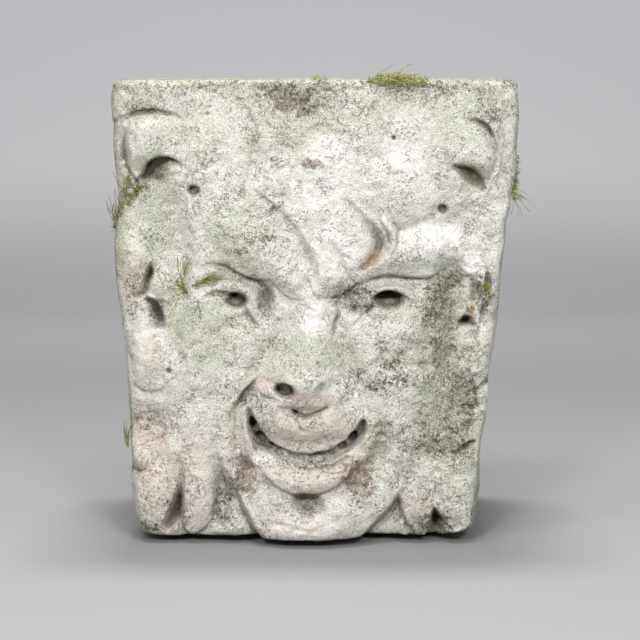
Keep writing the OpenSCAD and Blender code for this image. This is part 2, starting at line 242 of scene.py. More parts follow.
def carve(face):
    x, z = face.x, face.z
    # the crowned front of the block before any cutting
    face.h = 22.0 + 5.0 * np.exp(-((x / 95.0) ** 2)) * np.exp(-((z - 160) / 170.0) ** 2)
    face.swell(1.3, 156.8, 84, 150, 0, 22, 29, 14, 0.8)
    # forehead
    face.swell(6.6, 255.7, 60, 70, 0, 23, 32, 14, 0.8)
    face.lift(-17.8, 288.6, 30, 12, 0, -2.5)
    # left horn
    face.swell(-63.3, 262.3, 31, 50, -8, 22, 32, 10, 0.8)
    face.swell(-100.2, 262.3, 21, 24, 0, 19, 31, 4, 0.55)
    face.lift(-125.2, 250.4, 11, 26, 0, -8)
    face.lift(-106.8, 293.9, 30, 9, 0, 1.5)
    face.under([
        (-125.2, 272.8, 5, 3, 2), (-118, 276.8, 8, 6, 3), (-111.4, 279.7, 10, 8, 3),
        (-104.1, 281.7, 10, 8, 3), (-96.2, 281.4, 9, 6.5, 3), (-89, 278.8, 8, 4, 3),
        (-81.1, 274.8, 6, 1.5, 3),
    ])
    face.cut([
        (-117.3, 271.5, 3, 3), (-119.3, 262.3, 3.6, 4), (-119.9, 253.7, 3.6, 5),
        (-118.6, 245.1, 3.2, 6), (-114.7, 237.9, 2.4, 6), (-110.7, 232, 2, 5), (-112, 226, 2, 4),
        (-116, 220.8, 2, 3),
    ])
    face.under([
        (-110.7, 236.6, 6, 7, 1.5), (-106.8, 239.9, 10, 14, 1.6), (-102.8, 247.1, 14, 17, 1.6),
        (-96.9, 250.4, 13, 16, 1.6), (-90.3, 250.4, 10, 13, 1.6), (-84.4, 247.8, 7, 7, 1.6),
        (-80.4, 244.5, 4, 1, 1.6),
    ])
    face.cut([
        (-106.8, 235.9, 3, 5), (-102.1, 239.9, 5, 7), (-98.2, 244.5, 5, 6), (-92.3, 247.1, 3, 4),
    ])
    face.cut([
        (-50.1, 289.3, 3, 1), (-42.8, 282.1, 3.5, 2.4), (-38.2, 272.8, 3.5, 3),
        (-36.2, 263.6, 3.5, 3), (-36.2, 254.4, 3.5, 2.6), (-38.2, 238.6, 4, 2),
        (-42.8, 225.4, 5, 1),
    ])
    face.hole(-75.1, 229.3, 3.8, 3.2, 0, 9)
    face.hole(-65.6, 278.1, 0.9, 1.1, 0, 3)
    face.hole(-59.6, 239.5, 0.9, 1.1, 0, 3)
    face.cut([(-92.3, 234.6, 1.4, 1.2), (-92.9, 227.4, 1.4, 1.8), (-94.6, 218.8, 1.4, 1)])
    # right horn
    face.swell(81.7, 263.6, 34, 48, 10, 22, 30, 10, 0.8)
    face.swell(98.9, 255.7, 20, 25, 6, 19, 30, 5, 0.55)
    face.lift(125.9, 249.1, 9, 34, 0, -6)
    face.under([
        (98.9, 275.8, 3, 1, 2), (104.8, 274.8, 6, 6, 1.6), (110.1, 272.5, 8, 9, 1.6),
        (114.3, 268.2, 8, 9, 1.8), (117, 261.6, 8, 7, 2), (119.3, 251.7, 8, 5, 2.5),
        (118.6, 242.5, 7, 5, 2.5), (114.7, 234.6, 5, 3, 2.5),
    ])
    face.cut([
        (90.9, 245.1, 2.5, 3), (96.2, 243.2, 5, 7), (102.1, 239.2, 6.5, 10), (106.8, 233.9, 5, 9),
        (110.1, 230, 2.5, 4),
    ], 1.3)
    face.under([
        (88.3, 243.2, 3, 2, 2), (94.2, 245.5, 6, 5, 1.6), (101.5, 244.2, 8, 7, 1.6),
        (107.4, 239.2, 8, 6, 1.6), (111.4, 231.3, 4, 2, 2),
    ])
    face.hole(83.4, 218.1, 2.9, 3, 20, 7)
    face.hole(52.7, 263.6, 1.2, 1.4, 20, 4)
    face.lift(60.6, 230.7, 30, 24, 10, 4)
    # temples
    face.lift(-65.9, 206.3, 24, 30, 20, 3)
    face.lift(92.3, 199.7, 22, 30, 0, -2)
    # cheeks and jaw
    face.swell(-71.8, 127.2, 38, 48, 10, 20, 32, 12, 0.9)
    face.swell(58, 123.9, 38, 48, -10, 20, 31, 12, 0.9)
    face.swell(0, 64.6, 60, 75, 0, 20, 33, 5, 0.4)
    # ears
    face.swell(-115.3, 192.4, 16, 28, 8, 17, 28, 5, 0.6)
    face.swell(-106.1, 127.2, 14.5, 30, -4, 17, 29, 5, 0.55)
    face.lift(-98.2, 169.4, 8, 8, 0, 3)
    face.cut([
        (-102.8, 182.5, 2, 3), (-103.8, 176, 3.4, 10), (-106.4, 169.4, 3.4, 10),
        (-107.7, 163.4, 3, 9), (-113.3, 161.8, 2, 3),
    ])
    face.cut([
        (-106.1, 159.5, 2.4, 5), (-101.5, 155.5, 4.2, 11), (-98.2, 149.6, 5, 13),
        (-96.2, 143, 3.4, 7),
    ], 1.1)
    face.under([
        (-114.7, 105.4, 4, 0.6, 2.4), (-111.4, 101.5, 6, 2.6, 2.2), (-106.1, 99.2, 7, 4, 2),
        (-99.5, 99.2, 7, 3.6, 2.2), (-94.9, 102.8, 5, 1.6, 2.6), (-92.3, 109.4, 4, 0.8, 2.8),
    ])
    face.hole(-92.3, 113.3, 1.5, 1.8, 0, 4)
    face.swell(109.4, 122.6, 14, 22, -12, 17, 26, 5, 0.6)
    face.cut([
        (119.3, 117.3, 1.4, 3), (115.3, 109.4, 1.8, 6), (110.1, 102.8, 1.8, 5), (104.8, 99.5, 2, 2),
    ])
    face.swell(102.1, 180.6, 13, 11, 0, 18, 26, 2, 0.35)
    face.cut([(104.1, 170.7, 3, 5), (106.8, 164.8, 5, 7), (105.4, 158.8, 4, 5)])
    face.cut([(113.3, 175.3, 2, 4), (113.3, 168, 3, 6), (112, 162.1, 2, 3)])
    face.cut([(96.2, 143.7, 3, 7), (100.2, 145, 5, 15), (103.5, 143.7, 3, 9)], 1.3)
    face.cut([(110.7, 158.8, 1.5, 4), (110.1, 151.6, 1.8, 5), (108.7, 145, 1.5, 3)])
    face.cut([(102.1, 140.4, 1.5, 2), (103.5, 134.4, 2, 4), (106.8, 129.8, 1.5, 2)])
    # soft valleys beside the face
    face.cut([
        (-85.7, 229.3, 7, 2), (-85.7, 206.3, 10, 6), (-83.7, 184.5, 10, 7), (-84.4, 163.4, 9, 6),
        (-88.3, 140.4, 9, 5), (-85.7, 120.6, 8, 3),
    ])
    face.cut([
        (88.3, 212.9, 8, 2), (88.3, 193.1, 10, 4), (92.3, 170, 12, 6), (92.3, 143.7, 12, 6),
        (89.6, 114, 12, 4),
    ])
    # foot lobes, left
    face.lift(-105.4, 71.2, 20, 24, 0, -2.5)
    face.lift(-73.8, 64.6, 26, 30, 0, 2.5)
    face.swell(-102.8, 30.3, 21, 26, -6, 16, 29, 5, 0.45)
    face.swell(-73.8, 39.5, 15, 37, -2, 16, 31, 4, 0.45)
    face.under([
        (-118.6, 48.1, 6, 2.4, 2), (-114, 46.1, 8, 7, 1.8), (-108.7, 47.4, 8, 6.4, 2),
        (-102.1, 52.1, 6, 3, 2.6), (-95.6, 58.7, 5, 0.8, 3),
    ], -1)
    face.cut([
        (-84.4, 52.7, 3, 1.5), (-85, 38.2, 3.4, 5), (-86.7, 27.7, 4.2, 11), (-89, 19.1, 6.4, 16),
        (-93.6, 11.9, 5, 8),
    ], 1.2)
    face.cut([
        (-61.3, 56.7, 3.4, 1), (-60, 44.8, 4, 5), (-59, 35.6, 5.2, 10), (-56.7, 25.7, 8.5, 15),
        (-56.7, 17.8, 10, 15),
    ], 1.2)
    face.under([
        (-84.4, 14.5, 4, 2, 1.5), (-80.4, 7.6, 6, 6, 1.5), (-75.1, 5.9, 6, 6, 1.5),
        (-69.2, 9.2, 6, 5, 1.5), (-64.6, 15.8, 5, 3, 2),
    ])
    # foot lobes, right
    face.swell(65.2, 26.4, 14, 24, 14, 18, 29, 5, 0.5)
    face.swell(95.6, 34.9, 17, 42, 2, 17, 29, 5, 0.5)
    face.lift(100.2, 84.4, 18, 30, 0, -3)
    face.cut([
        (55.4, 30.3, 2, 3), (54, 22.4, 5.5, 10), (50.1, 14.5, 10, 12), (45.5, 4.6, 13, 12),
    ], 1.4)
    face.cut([(55.4, 23.1, 2.5, 3), (59.3, 13.2, 3, 6), (65.2, 3.3, 3, 4)])
    face.cut([
        (79.7, 21.1, 2.5, 6), (80.4, 15.2, 5, 16), (79.7, 9.2, 6, 15), (77.1, 3.3, 5, 9),
    ], 1.3)
    face.cut([(83, 14.5, 2.2, 7), (89, 11.2, 1.6, 2)])
    face.cut([(88.3, 59.6, 1.5, 2), (94.2, 60.6, 2, 4), (99.5, 63.9, 2.6, 7), (104.1, 65.9, 2, 6)])
    q = np.clip((-(z - 7) * 0.9 + (x - 84) * 0.1 + 2) / 9, 0, 1) * np.clip((x - 83) / 5, 0, 1)
    face.h = face.h - 8 * smooth(q)
    # folds round the mouth
    face.under([
        (-33, 110.7, 3, 1, 2), (-38.2, 105.4, 7, 6.4, 1.8), (-44.2, 99.5, 8, 9, 1.8),
        (-47.8, 92.9, 7, 7.6, 1.8), (-51.4, 85.7, 5, 2, 2.6),
    ], -1)
    face.cut([
        (-48.8, 84.4, 6, 2), (-48.1, 67.9, 8, 4), (-42.8, 51.4, 9, 6), (-34.3, 40.2, 9, 6),
        (-22.4, 31.6, 8, 5),
    ])
    face.cut([
        (44.8, 77.8, 6, 2), (42.2, 60.6, 8, 5), (35.6, 49.4, 9, 6), (26.4, 38.2, 9, 6),
        (15.8, 31, 8, 5),
    ])
    # eyes
    face.cut([(-38.2, 172.7, 8, 4), (-31, 164.8, 9, 9), (-29.7, 155.5, 8, 6), (-27.7, 145, 7, 2)])
    face.swell(-51.4, 160.8, 20, 10.5, 20, 16, 28, 6, 0.7)
    face.cut([(-71.2, 168.7, 7, 3), (-57.3, 173.3, 7, 5), (-44.2, 170, 6, 4)])
    face.swell(-56.7, 148.9, 26, 9.5, 30, 18, 31, 6, 0.7)
    face.cut([
        (-67.2, 162.1, 1.5, 2), (-61.9, 163.8, 3, 5), (-55.4, 163.8, 3, 7), (-50.1, 162.8, 3, 6),
    ])
    face.hole(-48.4, 159.5, 6, 4.9, 0, 16)
    face.roll([
        (-66.6, 166.7, 2.5, 22, 26), (-56.7, 170, 3.4, 22, 30), (-46.8, 168.7, 3.6, 22, 32),
        (-39.5, 163.4, 3.4, 22, 32), (-35.9, 155.5, 3, 22, 30), (-35.6, 148.9, 2.4, 22, 27),
    ], 4)
    face.cut([
        (-43.5, 154.9, 2, 3), (-40.9, 149.6, 3, 4.5), (-37.6, 145, 3, 3.5), (-33, 138.4, 2, 1.2),
    ])
    face.cut([
        (-33, 172, 4, 3), (-30.3, 166.7, 5.5, 6), (-29.7, 160.8, 5.5, 5.4), (-31.6, 154.9, 4, 3),
    ])
    face.cut([(17.1, 166.1, 8, 5), (22.4, 161.5, 9, 9), (26.4, 154.9, 8, 5)])
    face.swell(49.4, 161.5, 21, 10, -6, 16, 27, 6, 0.7)
    face.swell(48.8, 150.3, 26, 9, -12, 18, 30, 6, 0.7)
    face.cut([(39.5, 167.4, 7, 3), (52.7, 170.7, 7, 3.5), (67.2, 168, 7, 3)])
    face.roll([
        (35.6, 159.5, 2.4, 22, 27), (40.9, 164.8, 3, 22, 30), (50.1, 167.7, 3.4, 22, 31),
        (59.3, 165.7, 3, 22, 29), (65.9, 160.8, 2.4, 22, 26),
    ], 4)
    face.cut([
        (40.9, 160.8, 2.2, 6), (47.4, 162.8, 3.8, 11), (55.4, 162.4, 3.2, 9), (60.6, 161.5, 2, 4),
        (64.6, 159.5, 1.4, 1.5),
    ])
    face.hole(50.1, 159.8, 8.2, 5.6, -4, 17)
    face.cut([
        (42.2, 158.8, 1.6, 4), (37.6, 153.5, 2.2, 5), (31.6, 148.3, 1.8, 3), (26.4, 143.7, 1.4, 1),
    ])
    # brows
    face.roll([
        (-68.5, 213.5, 14, 22, 27), (-55.4, 206.9, 19, 20, 34), (-39.5, 197.7, 22, 20, 38),
        (-23.7, 185.8, 19, 20, 38), (-11.2, 171.3, 12, 20, 36), (-5.9, 164.1, 7, 20, 31),
    ], 5, 0.75)
    face.roll([
        (30.3, 176.6, 8, 22, 33), (43.5, 183.9, 12, 20, 36), (58, 189.8, 17, 20, 37),
        (73.8, 191.8, 17, 20, 34), (88.3, 192.4, 12, 20, 27),
    ], 6, 0.75)
    face.under([
        (-64.6, 183.9, 5, 2, 2), (-54.7, 182.2, 8, 7, 1.6), (-46.1, 176.9, 9, 8, 1.6),
        (-36.9, 173.6, 9, 7, 1.6), (-27.7, 172.7, 7, 4, 1.6), (-21.1, 166.7, 7, 4, 1.6),
        (-14.5, 161.5, 7, 4, 1.8), (-6.6, 160.8, 5, 2, 2),
    ])
    face.under([
        (25, 168.7, 5, 2, 2), (33, 172.7, 7, 5, 1.6), (42.8, 175.6, 8, 7, 1.6),
        (52.7, 176.3, 8, 7, 1.6), (63.3, 175, 8, 7, 1.6), (75.1, 174.3, 8, 6, 1.8),
        (84.4, 178.6, 6, 3, 2.4),
    ])
    face.cut([
        (42.2, 211.5, 3, 0.5), (48.8, 208.2, 3.6, 1.8), (55.4, 205.6, 3.8, 2.4),
        (63.3, 206.3, 3.8, 2), (71.2, 210.2, 3.6, 1.4), (77.8, 214.8, 3, 1),
    ])
    # forelock
    face.swell(14.5, 196.4, 24, 36, 4, 24, 38, 8, 0.75)
    face.swell(11.9, 177.9, 13, 15, 0, 24, 38, 5, 0.55)
    face.swell(27, 191.1, 12, 23, 12, 24, 39, 4, 0.55)
    face.cut([
        (-36.9, 230, 1.8, 1), (-30.3, 224.1, 2.4, 2.8), (-23.1, 218.1, 2.8, 3),
        (-14.5, 208.9, 3.6, 3), (-7.9, 197.7, 5, 3.8), (-2.6, 187.2, 6, 4.6), (2, 176.6, 5, 3.4),
    ])
    face.cut([
        (13.8, 196.4, 2.2, 1), (16.5, 191.1, 2.6, 2.5), (19.8, 183.2, 3, 3), (23.1, 176.6, 3, 2.5),
        (26.4, 172, 2.4, 1.5),
    ])
    face.under([
        (-0.7, 177.9, 4, 2, 2), (0, 169.4, 5, 5, 1.6), (4, 163.4, 7, 7, 1.6),
        (11.9, 162.1, 8, 7, 1.6), (19.8, 164.1, 8, 6, 1.8), (29, 170.7, 6, 3, 2.4),
    ])
    face.cut([
        (21.1, 223.4, 2, 1.2), (29, 216.2, 3.2, 3), (36.2, 207.6, 4.2, 5.4), (41.5, 199, 4.8, 7),
        (42.2, 191.1, 4.6, 7.4), (37.6, 184.5, 3.8, 5.4), (31.6, 179.9, 2.8, 2.6),
    ])
    face.roll([
        (44.2, 211.5, 2.2, 30, 34), (50.1, 204.3, 3, 30, 38), (51.4, 195.7, 3.2, 30, 38.5),
        (47.4, 187.8, 2.8, 30, 37), (40.2, 181.2, 2.2, 30, 35),
    ], 3)
    # nose
    face.roll([
        (4, 163.4, 11, 22, 32), (2.6, 148.9, 15, 22, 35), (-0.7, 133.8, 21, 22, 38),
        (-4, 118.6, 28, 22, 43), (-5.9, 108.1, 30, 22, 46), (-6.6, 101.5, 27, 20, 45),
    ], 10, 1)
    face.swell(-5.9, 111.4, 21, 15, 0, 28, 48, 10, 0.85)
    face.under([
        (-34.3, 100.2, 6, 1.2, 4), (-25, 97.5, 9, 1.2, 5), (-14.5, 97.5, 10, 1, 6),
        (-4, 97.5, 10, 1, 6), (6.6, 98.2, 9, 1.2, 6), (17.1, 99.5, 7, 1.4, 5), (25, 102.1, 5, 1, 4),
    ])
    face.swell(-25.7, 100.8, 11, 9, 10, 26, 39, 6, 0.7)
    face.swell(16.5, 99.5, 11, 9, -10, 26, 39, 6, 0.7)
    face.cut([(15.8, 158.2, 2, 3), (17.1, 150.9, 2, 5), (14.5, 144.3, 2, 5), (13.8, 136.4, 1.6, 3)])
    face.cut([
        (-15.8, 148.9, 5, 0.6), (-22.4, 135.8, 8, 1.4), (-30.3, 122.6, 9, 2),
        (-36.2, 110.7, 7, 2.2),
    ])
    face.cut([
        (13.2, 148.9, 4, 1), (18.5, 133.8, 8, 2.5), (25, 119.9, 9, 3.2), (27.7, 106.8, 8, 2.5),
    ])
    # upper lip
    face.swell(-2.6, 87.6, 35, 24, 0, 24, 41, 6, 0.55)
    face.swell(-2.6, 79.7, 27, 13, 0, 24, 42, 5, 0.5)
    face.cut([
        (-33.6, 100.8, 1.4, 1.5), (-29.7, 97.5, 2.4, 4.5), (-24.4, 95.9, 2.2, 3),
        (-20.4, 95.6, 1.6, 1),
    ])
    face.cut([(-18.5, 89.6, 4, 3), (-4.6, 89, 5, 4.5), (9.2, 90.3, 4, 3)])
    # mouth
    face.cut([
        (-39.9, 88.3, 2, 3), (-38.2, 81.1, 3.6, 10), (-35.6, 73.1, 5.4, 15), (-30.3, 66.6, 5, 15),
        (-21.7, 61.3, 4.8, 12), (-10.5, 58, 4.6, 10), (1.3, 57.3, 4.6, 10), (12.5, 60, 4.6, 11),
        (21.7, 65.6, 4.6, 13), (29, 73.1, 4.2, 14), (33, 81.1, 2.8, 8),
    ], 1.6)
    face.roll([
        (-20.4, 59.3, 3, 14, 24), (-10.5, 54.7, 3.6, 16, 28), (0, 53.4, 3.6, 16, 29),
        (10.5, 54.7, 3.6, 16, 28), (20.4, 60.6, 3, 14, 24),
    ], 2, 0.5)
    face.hole(-37.6, 79.1, 2.6, 3.6, 20, 9)
    face.hole(-33, 69.2, 3.8, 3, 40, 13)
    face.swell(-35.6, 73.8, 2.4, 1.6, 0, 14, 18, 2, 0.5)
    face.hole(-21.1, 60.6, 2.4, 2.2, 0, 8)
    face.cut([(-20.4, 63.3, 1.6, 4), (-15.2, 59.3, 2, 7), (-9.2, 58, 1.6, 4)])
    face.cut([(0, 58.7, 1.8, 5), (4.6, 57.7, 2.6, 10), (9.2, 57, 1.8, 5)])
    face.hole(19.1, 65.2, 2.6, 2.4, 0, 8)
    face.hole(4.6, 58.3, 3.8, 2.6, 0, 12)
    face.hole(-15.2, 58.7, 2.2, 1.8, 0, 7)
    face.hole(25.7, 71.2, 2.4, 3.6, -20, 10)
    face.hole(12.5, 60, 1.6, 1.4, 0, 5)
    face.hole(-3.3, 56.7, 1.7, 1.2, 0, 6)
    face.hole(-25.7, 65.9, 2.2, 1.8, 30, 6)
    face.swell(-17.8, 60.6, 4.5, 3.2, 0, 16, 25, 2, 0.5)
    face.swell(13.8, 56.7, 4.5, 3, 0, 16, 25, 2, 0.5)
    # lower lip
    face.roll([
        (-38.9, 64.6, 4, 22, 27), (-33, 53.4, 6.4, 22, 34), (-22.4, 44.2, 8.4, 22, 38),
        (-9.2, 41.5, 9.6, 22, 40), (4, 41.5, 9.6, 22, 40), (17.1, 46.1, 8.4, 22, 38),
        (27.7, 56, 6.8, 22, 34), (34.9, 66.6, 4.5, 22, 28),
    ], 4, 0.6)
    face.cut([
        (-22.4, 63.9, 1.6, 2), (-17.1, 56.7, 1.8, 4), (-10.5, 52.1, 1.8, 5), (0, 50.1, 1.6, 4),
        (11.9, 52.1, 1.8, 4), (22.4, 58.7, 1.6, 3),
    ])
    # chin
    face.swell(-3.3, 21.7, 52, 40, 0, 22, 38, 9, 0.7)
    face.swell(-1.3, 10.5, 36, 24, 0, 26, 44, 8, 0.6)
    face.under([
        (-33, 49.4, 5, 1, 2.4), (-25, 40.9, 8, 4, 2.4), (-14.5, 34.9, 9, 5.5, 2.2),
        (-2.6, 33.3, 9, 6, 2.2), (9.2, 35.6, 9, 5.5, 2.2), (19.8, 42.2, 8, 4, 2.4),
        (27.7, 50.7, 5, 1, 2.4),
    ])
    face.hole(-3, 28.3, 9, 5.2, -4, 12, 0.6)
    # the jaw stands clear of the lobes beside it
    face.under([
        (-63.3, 69.9, 9, 2, 7), (-59.3, 54.7, 12, 4, 7), (-53.4, 39.5, 14, 7, 6),
        (-44.8, 25, 15, 11, 5), (-36.9, 11.9, 15, 13, 5), (-31.6, -2, 13, 12, 4),
    ])
    face.under([
        (64.6, 52.7, 9, 2, 7), (60.6, 39.5, 11, 4, 7), (54, 27.7, 13, 8, 6),
        (44.2, 17.1, 14, 12, 5), (35.6, 7.2, 14, 13, 4), (31, -2.6, 12, 12, 4),
    ], -1)
    face.hole(-16.5, 103.1, 5.6, 4.3, -4, 14)
    face.hole(6.6, 105.8, 2.2, 3.2, 0, 5, 0.5)
    face.cut([
        (-11.2, 89.6, 1.6, 4), (-5.9, 86.3, 1.9, 5.5), (0.7, 87.3, 1.7, 4.5), (9.9, 91.6, 1.4, 2.5),
    ])
    face.cut([
        (-9.9, 87.6, 1.6, 4), (-9.2, 82.4, 1.6, 3.2), (-5.9, 77.1, 1.5, 2.6),
        (-1.3, 75.8, 1.3, 1.4),
    ])


# parts of the front that have crumbled: x, z, half width, half height, amount
CRUMBLED = [
    (94, 157, 20, 40, 1), (92, 98, 24, 46, 0.9), (61, 124, 20, 20, 0.6), (78, 45, 26, 26, 0.7),
    (25, 157, 17, 16, 0.6), (-100, 154, 11, 16, 0.6), (-107, 78, 20, 16, 0.5),
    (-47, 38, 11, 24, 0.5), (43, 61, 12, 26, 0.6), (-14, 285, 33, 13, 0.4), (0, 84, 26, 13, 0.35),
    (78, 12, 26, 12, 0.8), (-87, 18, 13, 14, 0.6), (22, 101, 14, 11, 0.5), (111, 223, 13, 40, 0.45),
    (-120, 275, 13, 26, 0.35), (-47, 196, 20, 13, 0.25), (-8, 5, 33, 9, 0.35),
]


def wear(face):
    """Weathering of the carved front: a rolling skin, creases, and parts that have crumbled."""
    x, z = face.x0, face.z0
    skin = 1.2 * wander2(x, z, 15, SEED + 5, 4, 0.6) + 0.6 * wander2(x, z, 4.2, SEED + 8, 2)
    bx = x + 5 * wander2(x, z, 17, SEED + 6)
    bz = z + 5 * wander2(x, z, 17, SEED + 7)
    creases = 0
    for size, seed, width, deep in ((30, 50, 0.06, 1.1), (17, 51, 0.09, 0.8), (9, 52, 0.14, 0.6)):
        line = np.exp(-((wander2(bx, bz, size, SEED + seed, 2) / width) ** 2))
        creases = creases + deep * line * smooth(wander2(x, z, 15, SEED + seed + 9) * 2.2 + 0.1)
    crumbled = np.zeros(x.shape)
    for cx, cz, rx, rz, amount in CRUMBLED:
        q = ((x - cx) / rx) ** 2 + ((z - cz) / rz) ** 2
        crumbled = np.maximum(crumbled, amount * np.clip(1.2 - q, 0, 1))
    lumps = wander2(bx, bz, 15, SEED + 60, 4, 0.7)
    chips = smooth(wander2(bx, bz, 9, SEED + 61, 3, 0.6) * 3 - 0.4)
    face.h = face.h + skin - creases - crumbled * (6.0 * np.abs(lumps) + 3.0 * chips)


# ---- the block ------------------------------------------------------------

# outline of the head seen from the front, as x, z
LEFT_SIDE = [
    (-111.7, 0), (-113.3, 4.6), (-115.3, 11.9), (-117.3, 25.0), (-118.3, 38.2), (-118.6, 51.4),
    (-119.3, 64.6), (-119.9, 77.8), (-119.9, 90.9), (-120.6, 104.1), (-121.9, 117.3),
    (-122.6, 130.5), (-123.9, 143.7), (-125.9, 156.8), (-127.8, 170.0), (-127.8, 181.9),
    (-128.5, 196.4), (-126.5, 212.9), (-125.2, 226.0), (-125.2, 235.9), (-126.5, 249.1),
    (-128.2, 262.3), (-129.2, 276.8), (-129.8, 287.3), (-128.8, 300),
]
RIGHT_SIDE = [
    (99.5, 0), (104.8, 5.3), (107.4, 11.9), (108.5, 25.0), (110.1, 38.2), (110.7, 51.4),
    (111.4, 64.6), (114.0, 77.8), (116.0, 90.9), (116.0, 104.1), (117.3, 117.3),
    (119.7, 130.5), (121.3, 143.7), (122.6, 156.8), (123.0, 170.0), (123.9, 183.2),
    (126.2, 197.7), (125.9, 208.9), (129.2, 218.1), (129.8, 229.3), (131.8, 242.5),
    (131.8, 259.0), (133.8, 270.2), (134.4, 290.6), (133.0, 300),
]


def side_swell(y, z):
    """How the horn, ear and lobes run round on to a side; y is the depth from the back."""
    out = np.zeros(np.broadcast(y, z).shape)
    for cz, cy, rz, ry, rise in (
        (246, 132, 30, 42, 3.0),
        (182, 134, 30, 26, 2.2),
        (30, 136, 34, 30, 2.4),
        (112, 130, 32, 30, 1.6),
    ):
        q = ((y - cy) / ry) ** 2 + ((z - cz) / rz) ** 2
        out = np.maximum(out, rise * np.clip(1 - q, 0, 1))
    return out


def stone_field(face):
    """Distance to the stone's skin on a lattice: below zero inside. Also the lattice's corner."""
    x = np.arange(-134.0, 138.5, VOXEL)
    y = np.arange(-2.0, 203.0, VOXEL)  # from the back, outwards
    z = np.arange(-3.0, HEIGHT + 3.5, VOXEL)
    gx, gz = np.meshgrid(x, z, indexing="ij")
    relief = face.at(face.h, gx, gz)
    slope = np.hypot(*np.gradient(relief, VOXEL))
    lean = 1 / np.sqrt(1 + np.minimum(slope, 2.5) ** 2)
    xx, yy, zz = x[:, None, None], y[None, :, None], z[None, None, :]
    field = ((yy - (GROUND + relief)[:, None, :]) * lean[:, None, :]).astype(np.float32)
    # the sides: outline, a shallow set-in of the tail, and what runs round from the front
    tail_in = 2.0 * smooth((TAIL + 4 - yy) / 8) + 1.0
    sides = side_swell(yy, zz) - tail_in
    corner = ARRIS + 5 * wander2(z, z * 0, 30, SEED + 9)[None, None, :]
    left = np.interp(z, *np.array(LEFT_SIDE).T[::-1])[None, None, :] - sides
    field = soft_max(field, (left - xx).astype(np.float32), corner)
    right = np.interp(z, *np.array(RIGHT_SIDE).T[::-1])[None, None, :] + sides
    field = soft_max(field, (xx - right).astype(np.float32), corner)
    # top, underside with its lifted toe, and back
    chipped = 5 + 3 * wander2(x, x * 0, 22, SEED + 12)[:, None, None]
    field = soft_max(field, zz - HEIGHT, chipped)
    toe = TOE * smooth((yy - BED) / 60)
    field = soft_max(field, toe - zz, 8 + 3 * wander2(x, x * 0, 20, SEED + 13)[:, None, None])
    field = soft_max(field, -yy, 3)
    # weathering, only ever taken off, and tool marks on the plain faces
    skin, tool_spacing = 3.2, 9.0
    band = np.argwhere(np.abs(field) < skin)
    p = band * VOXEL + np.array([x[0], y[0], z[0]])
    plain = smooth((GROUND - 6 - p[:, 1]) / 14)
    rough = wander3(p, 26, SEED + 20) * 0.9 + wander3(p, 7, SEED + 21, 3) * 0.55
    across = p[:, 1] + 0.55 * p[:, 2] + 0.3 * p[:, 0] + 3 * wander3(p, 30, SEED + 22)
    strokes = np.abs(np.sin(math.pi * (across / tool_spacing)))
    tooled = 0.35 * strokes * (0.4 + 0.6 * wander3(p, 18, SEED + 23) ** 2)
    worn = 0.45 * (1 + rough) * (0.55 + 0.45 * plain) + tooled * plain
    cell = tuple(band.T)
    field[cell] = field[cell] + np.clip(worn, 0, 2.2).astype(np.float32)
    return np.ascontiguousarray(field.astype(np.float32)), np.array([x[0], y[0], z[0]])


def new_mesh(name, points, faces):
    mesh = bpy.data.meshes.new(name)
    mesh.vertices.add(len(points))
    mesh.vertices.foreach_set("co", np.asarray(points, np.float32).ravel())
    mesh.loops.add(faces.size)
    mesh.loops.foreach_set("vertex_index", faces.ravel().astype(np.int32))
    mesh.polygons.add(len(faces))
    starts = np.arange(0, faces.size, faces.shape[1], dtype=np.int32)
    mesh.polygons.foreach_set("loop_start", starts)
    mesh.update(calc_edges=True)
    mesh.validate()
    return mesh


def finished_mesh(piece):
    """The piece with its modifiers worked out, as a plain mesh."""
    bpy.context.view_layer.update()
    depsgraph = bpy.context.evaluated_depsgraph_get()
    return bpy.data.meshes.new_from_object(piece.evaluated_get(depsgraph))


def placed(name, data):
    """An object of that name in the scene."""
    piece = bpy.data.objects.new(name, data)
    bpy.context.scene.collection.objects.link(piece)
    return piece


def coordinates(mesh):
    co = np.empty(len(mesh.vertices) * 3, np.float32)
    mesh.vertices.foreach_get("co", co)
    return co.reshape(-1, 3).astype(float)


def on_face(face, co):
    """1 for points on the carved front, 0 for the plain sides, top, underside and back."""
    depth = -co[:, 1] / MM
    skin = GROUND + face.at(face.h, co[:, 0] / MM, co[:, 2] / MM + HEIGHT / 2)
    return smooth(1 - (skin - depth - 2) / 5)


def build_stone(face):
    """The stone as one closed mesh of fewer than 200,000 triangles, in place."""
    field, corner = stone_field(face)
    grid = openvdb.FloatGrid(background=3.0)
    grid.copyFromArray(np.clip(field, -3, 3))
    points, _, quads = grid.convertToPolygons(isovalue=0.0, adaptivity=0.0)
    p = points * VOXEL + corner
    points = np.stack([p[:, 0], -p[:, 1], p[:, 2] - HEIGHT / 2], axis=1) * MM
    faces = np.vstack([quads[:, [0, 1, 2]], quads[:, [0, 2, 3]]])
    mesh = new_mesh("corbel_stone", points, faces)
    stone = placed("corbel_stone", mesh)

    # the plain faces are thinned more than the carving
    plain = 1 - on_face(face, coordinates(mesh))
    group = stone.vertex_groups.new(name="thin_here")
    levels, least = 5, 0.3
    level_of = np.clip((plain * levels).astype(int), 0, levels - 1)
    for level in range(levels):
        picked = np.nonzero(level_of == level)[0]
        group.add(picked.tolist(), least + (1 - least) * level / (levels - 1), "REPLACE")
    thin = stone.modifiers.new("thin", "DECIMATE")
    thin.ratio = TRIANGLES / len(mesh.polygons)
    thin.vertex_group = group.name
    thin.vertex_group_factor = 1.0
    done = finished_mesh(stone)
    stone.modifiers.clear()
    stone.data = done
    stone.vertex_groups.clear()
    done.name = "corbel_stone"
    bpy.data.meshes.remove(mesh)
    if signed_volume(done) < 0:
        done.flip_normals()
    done.shade_smooth()
    return stone


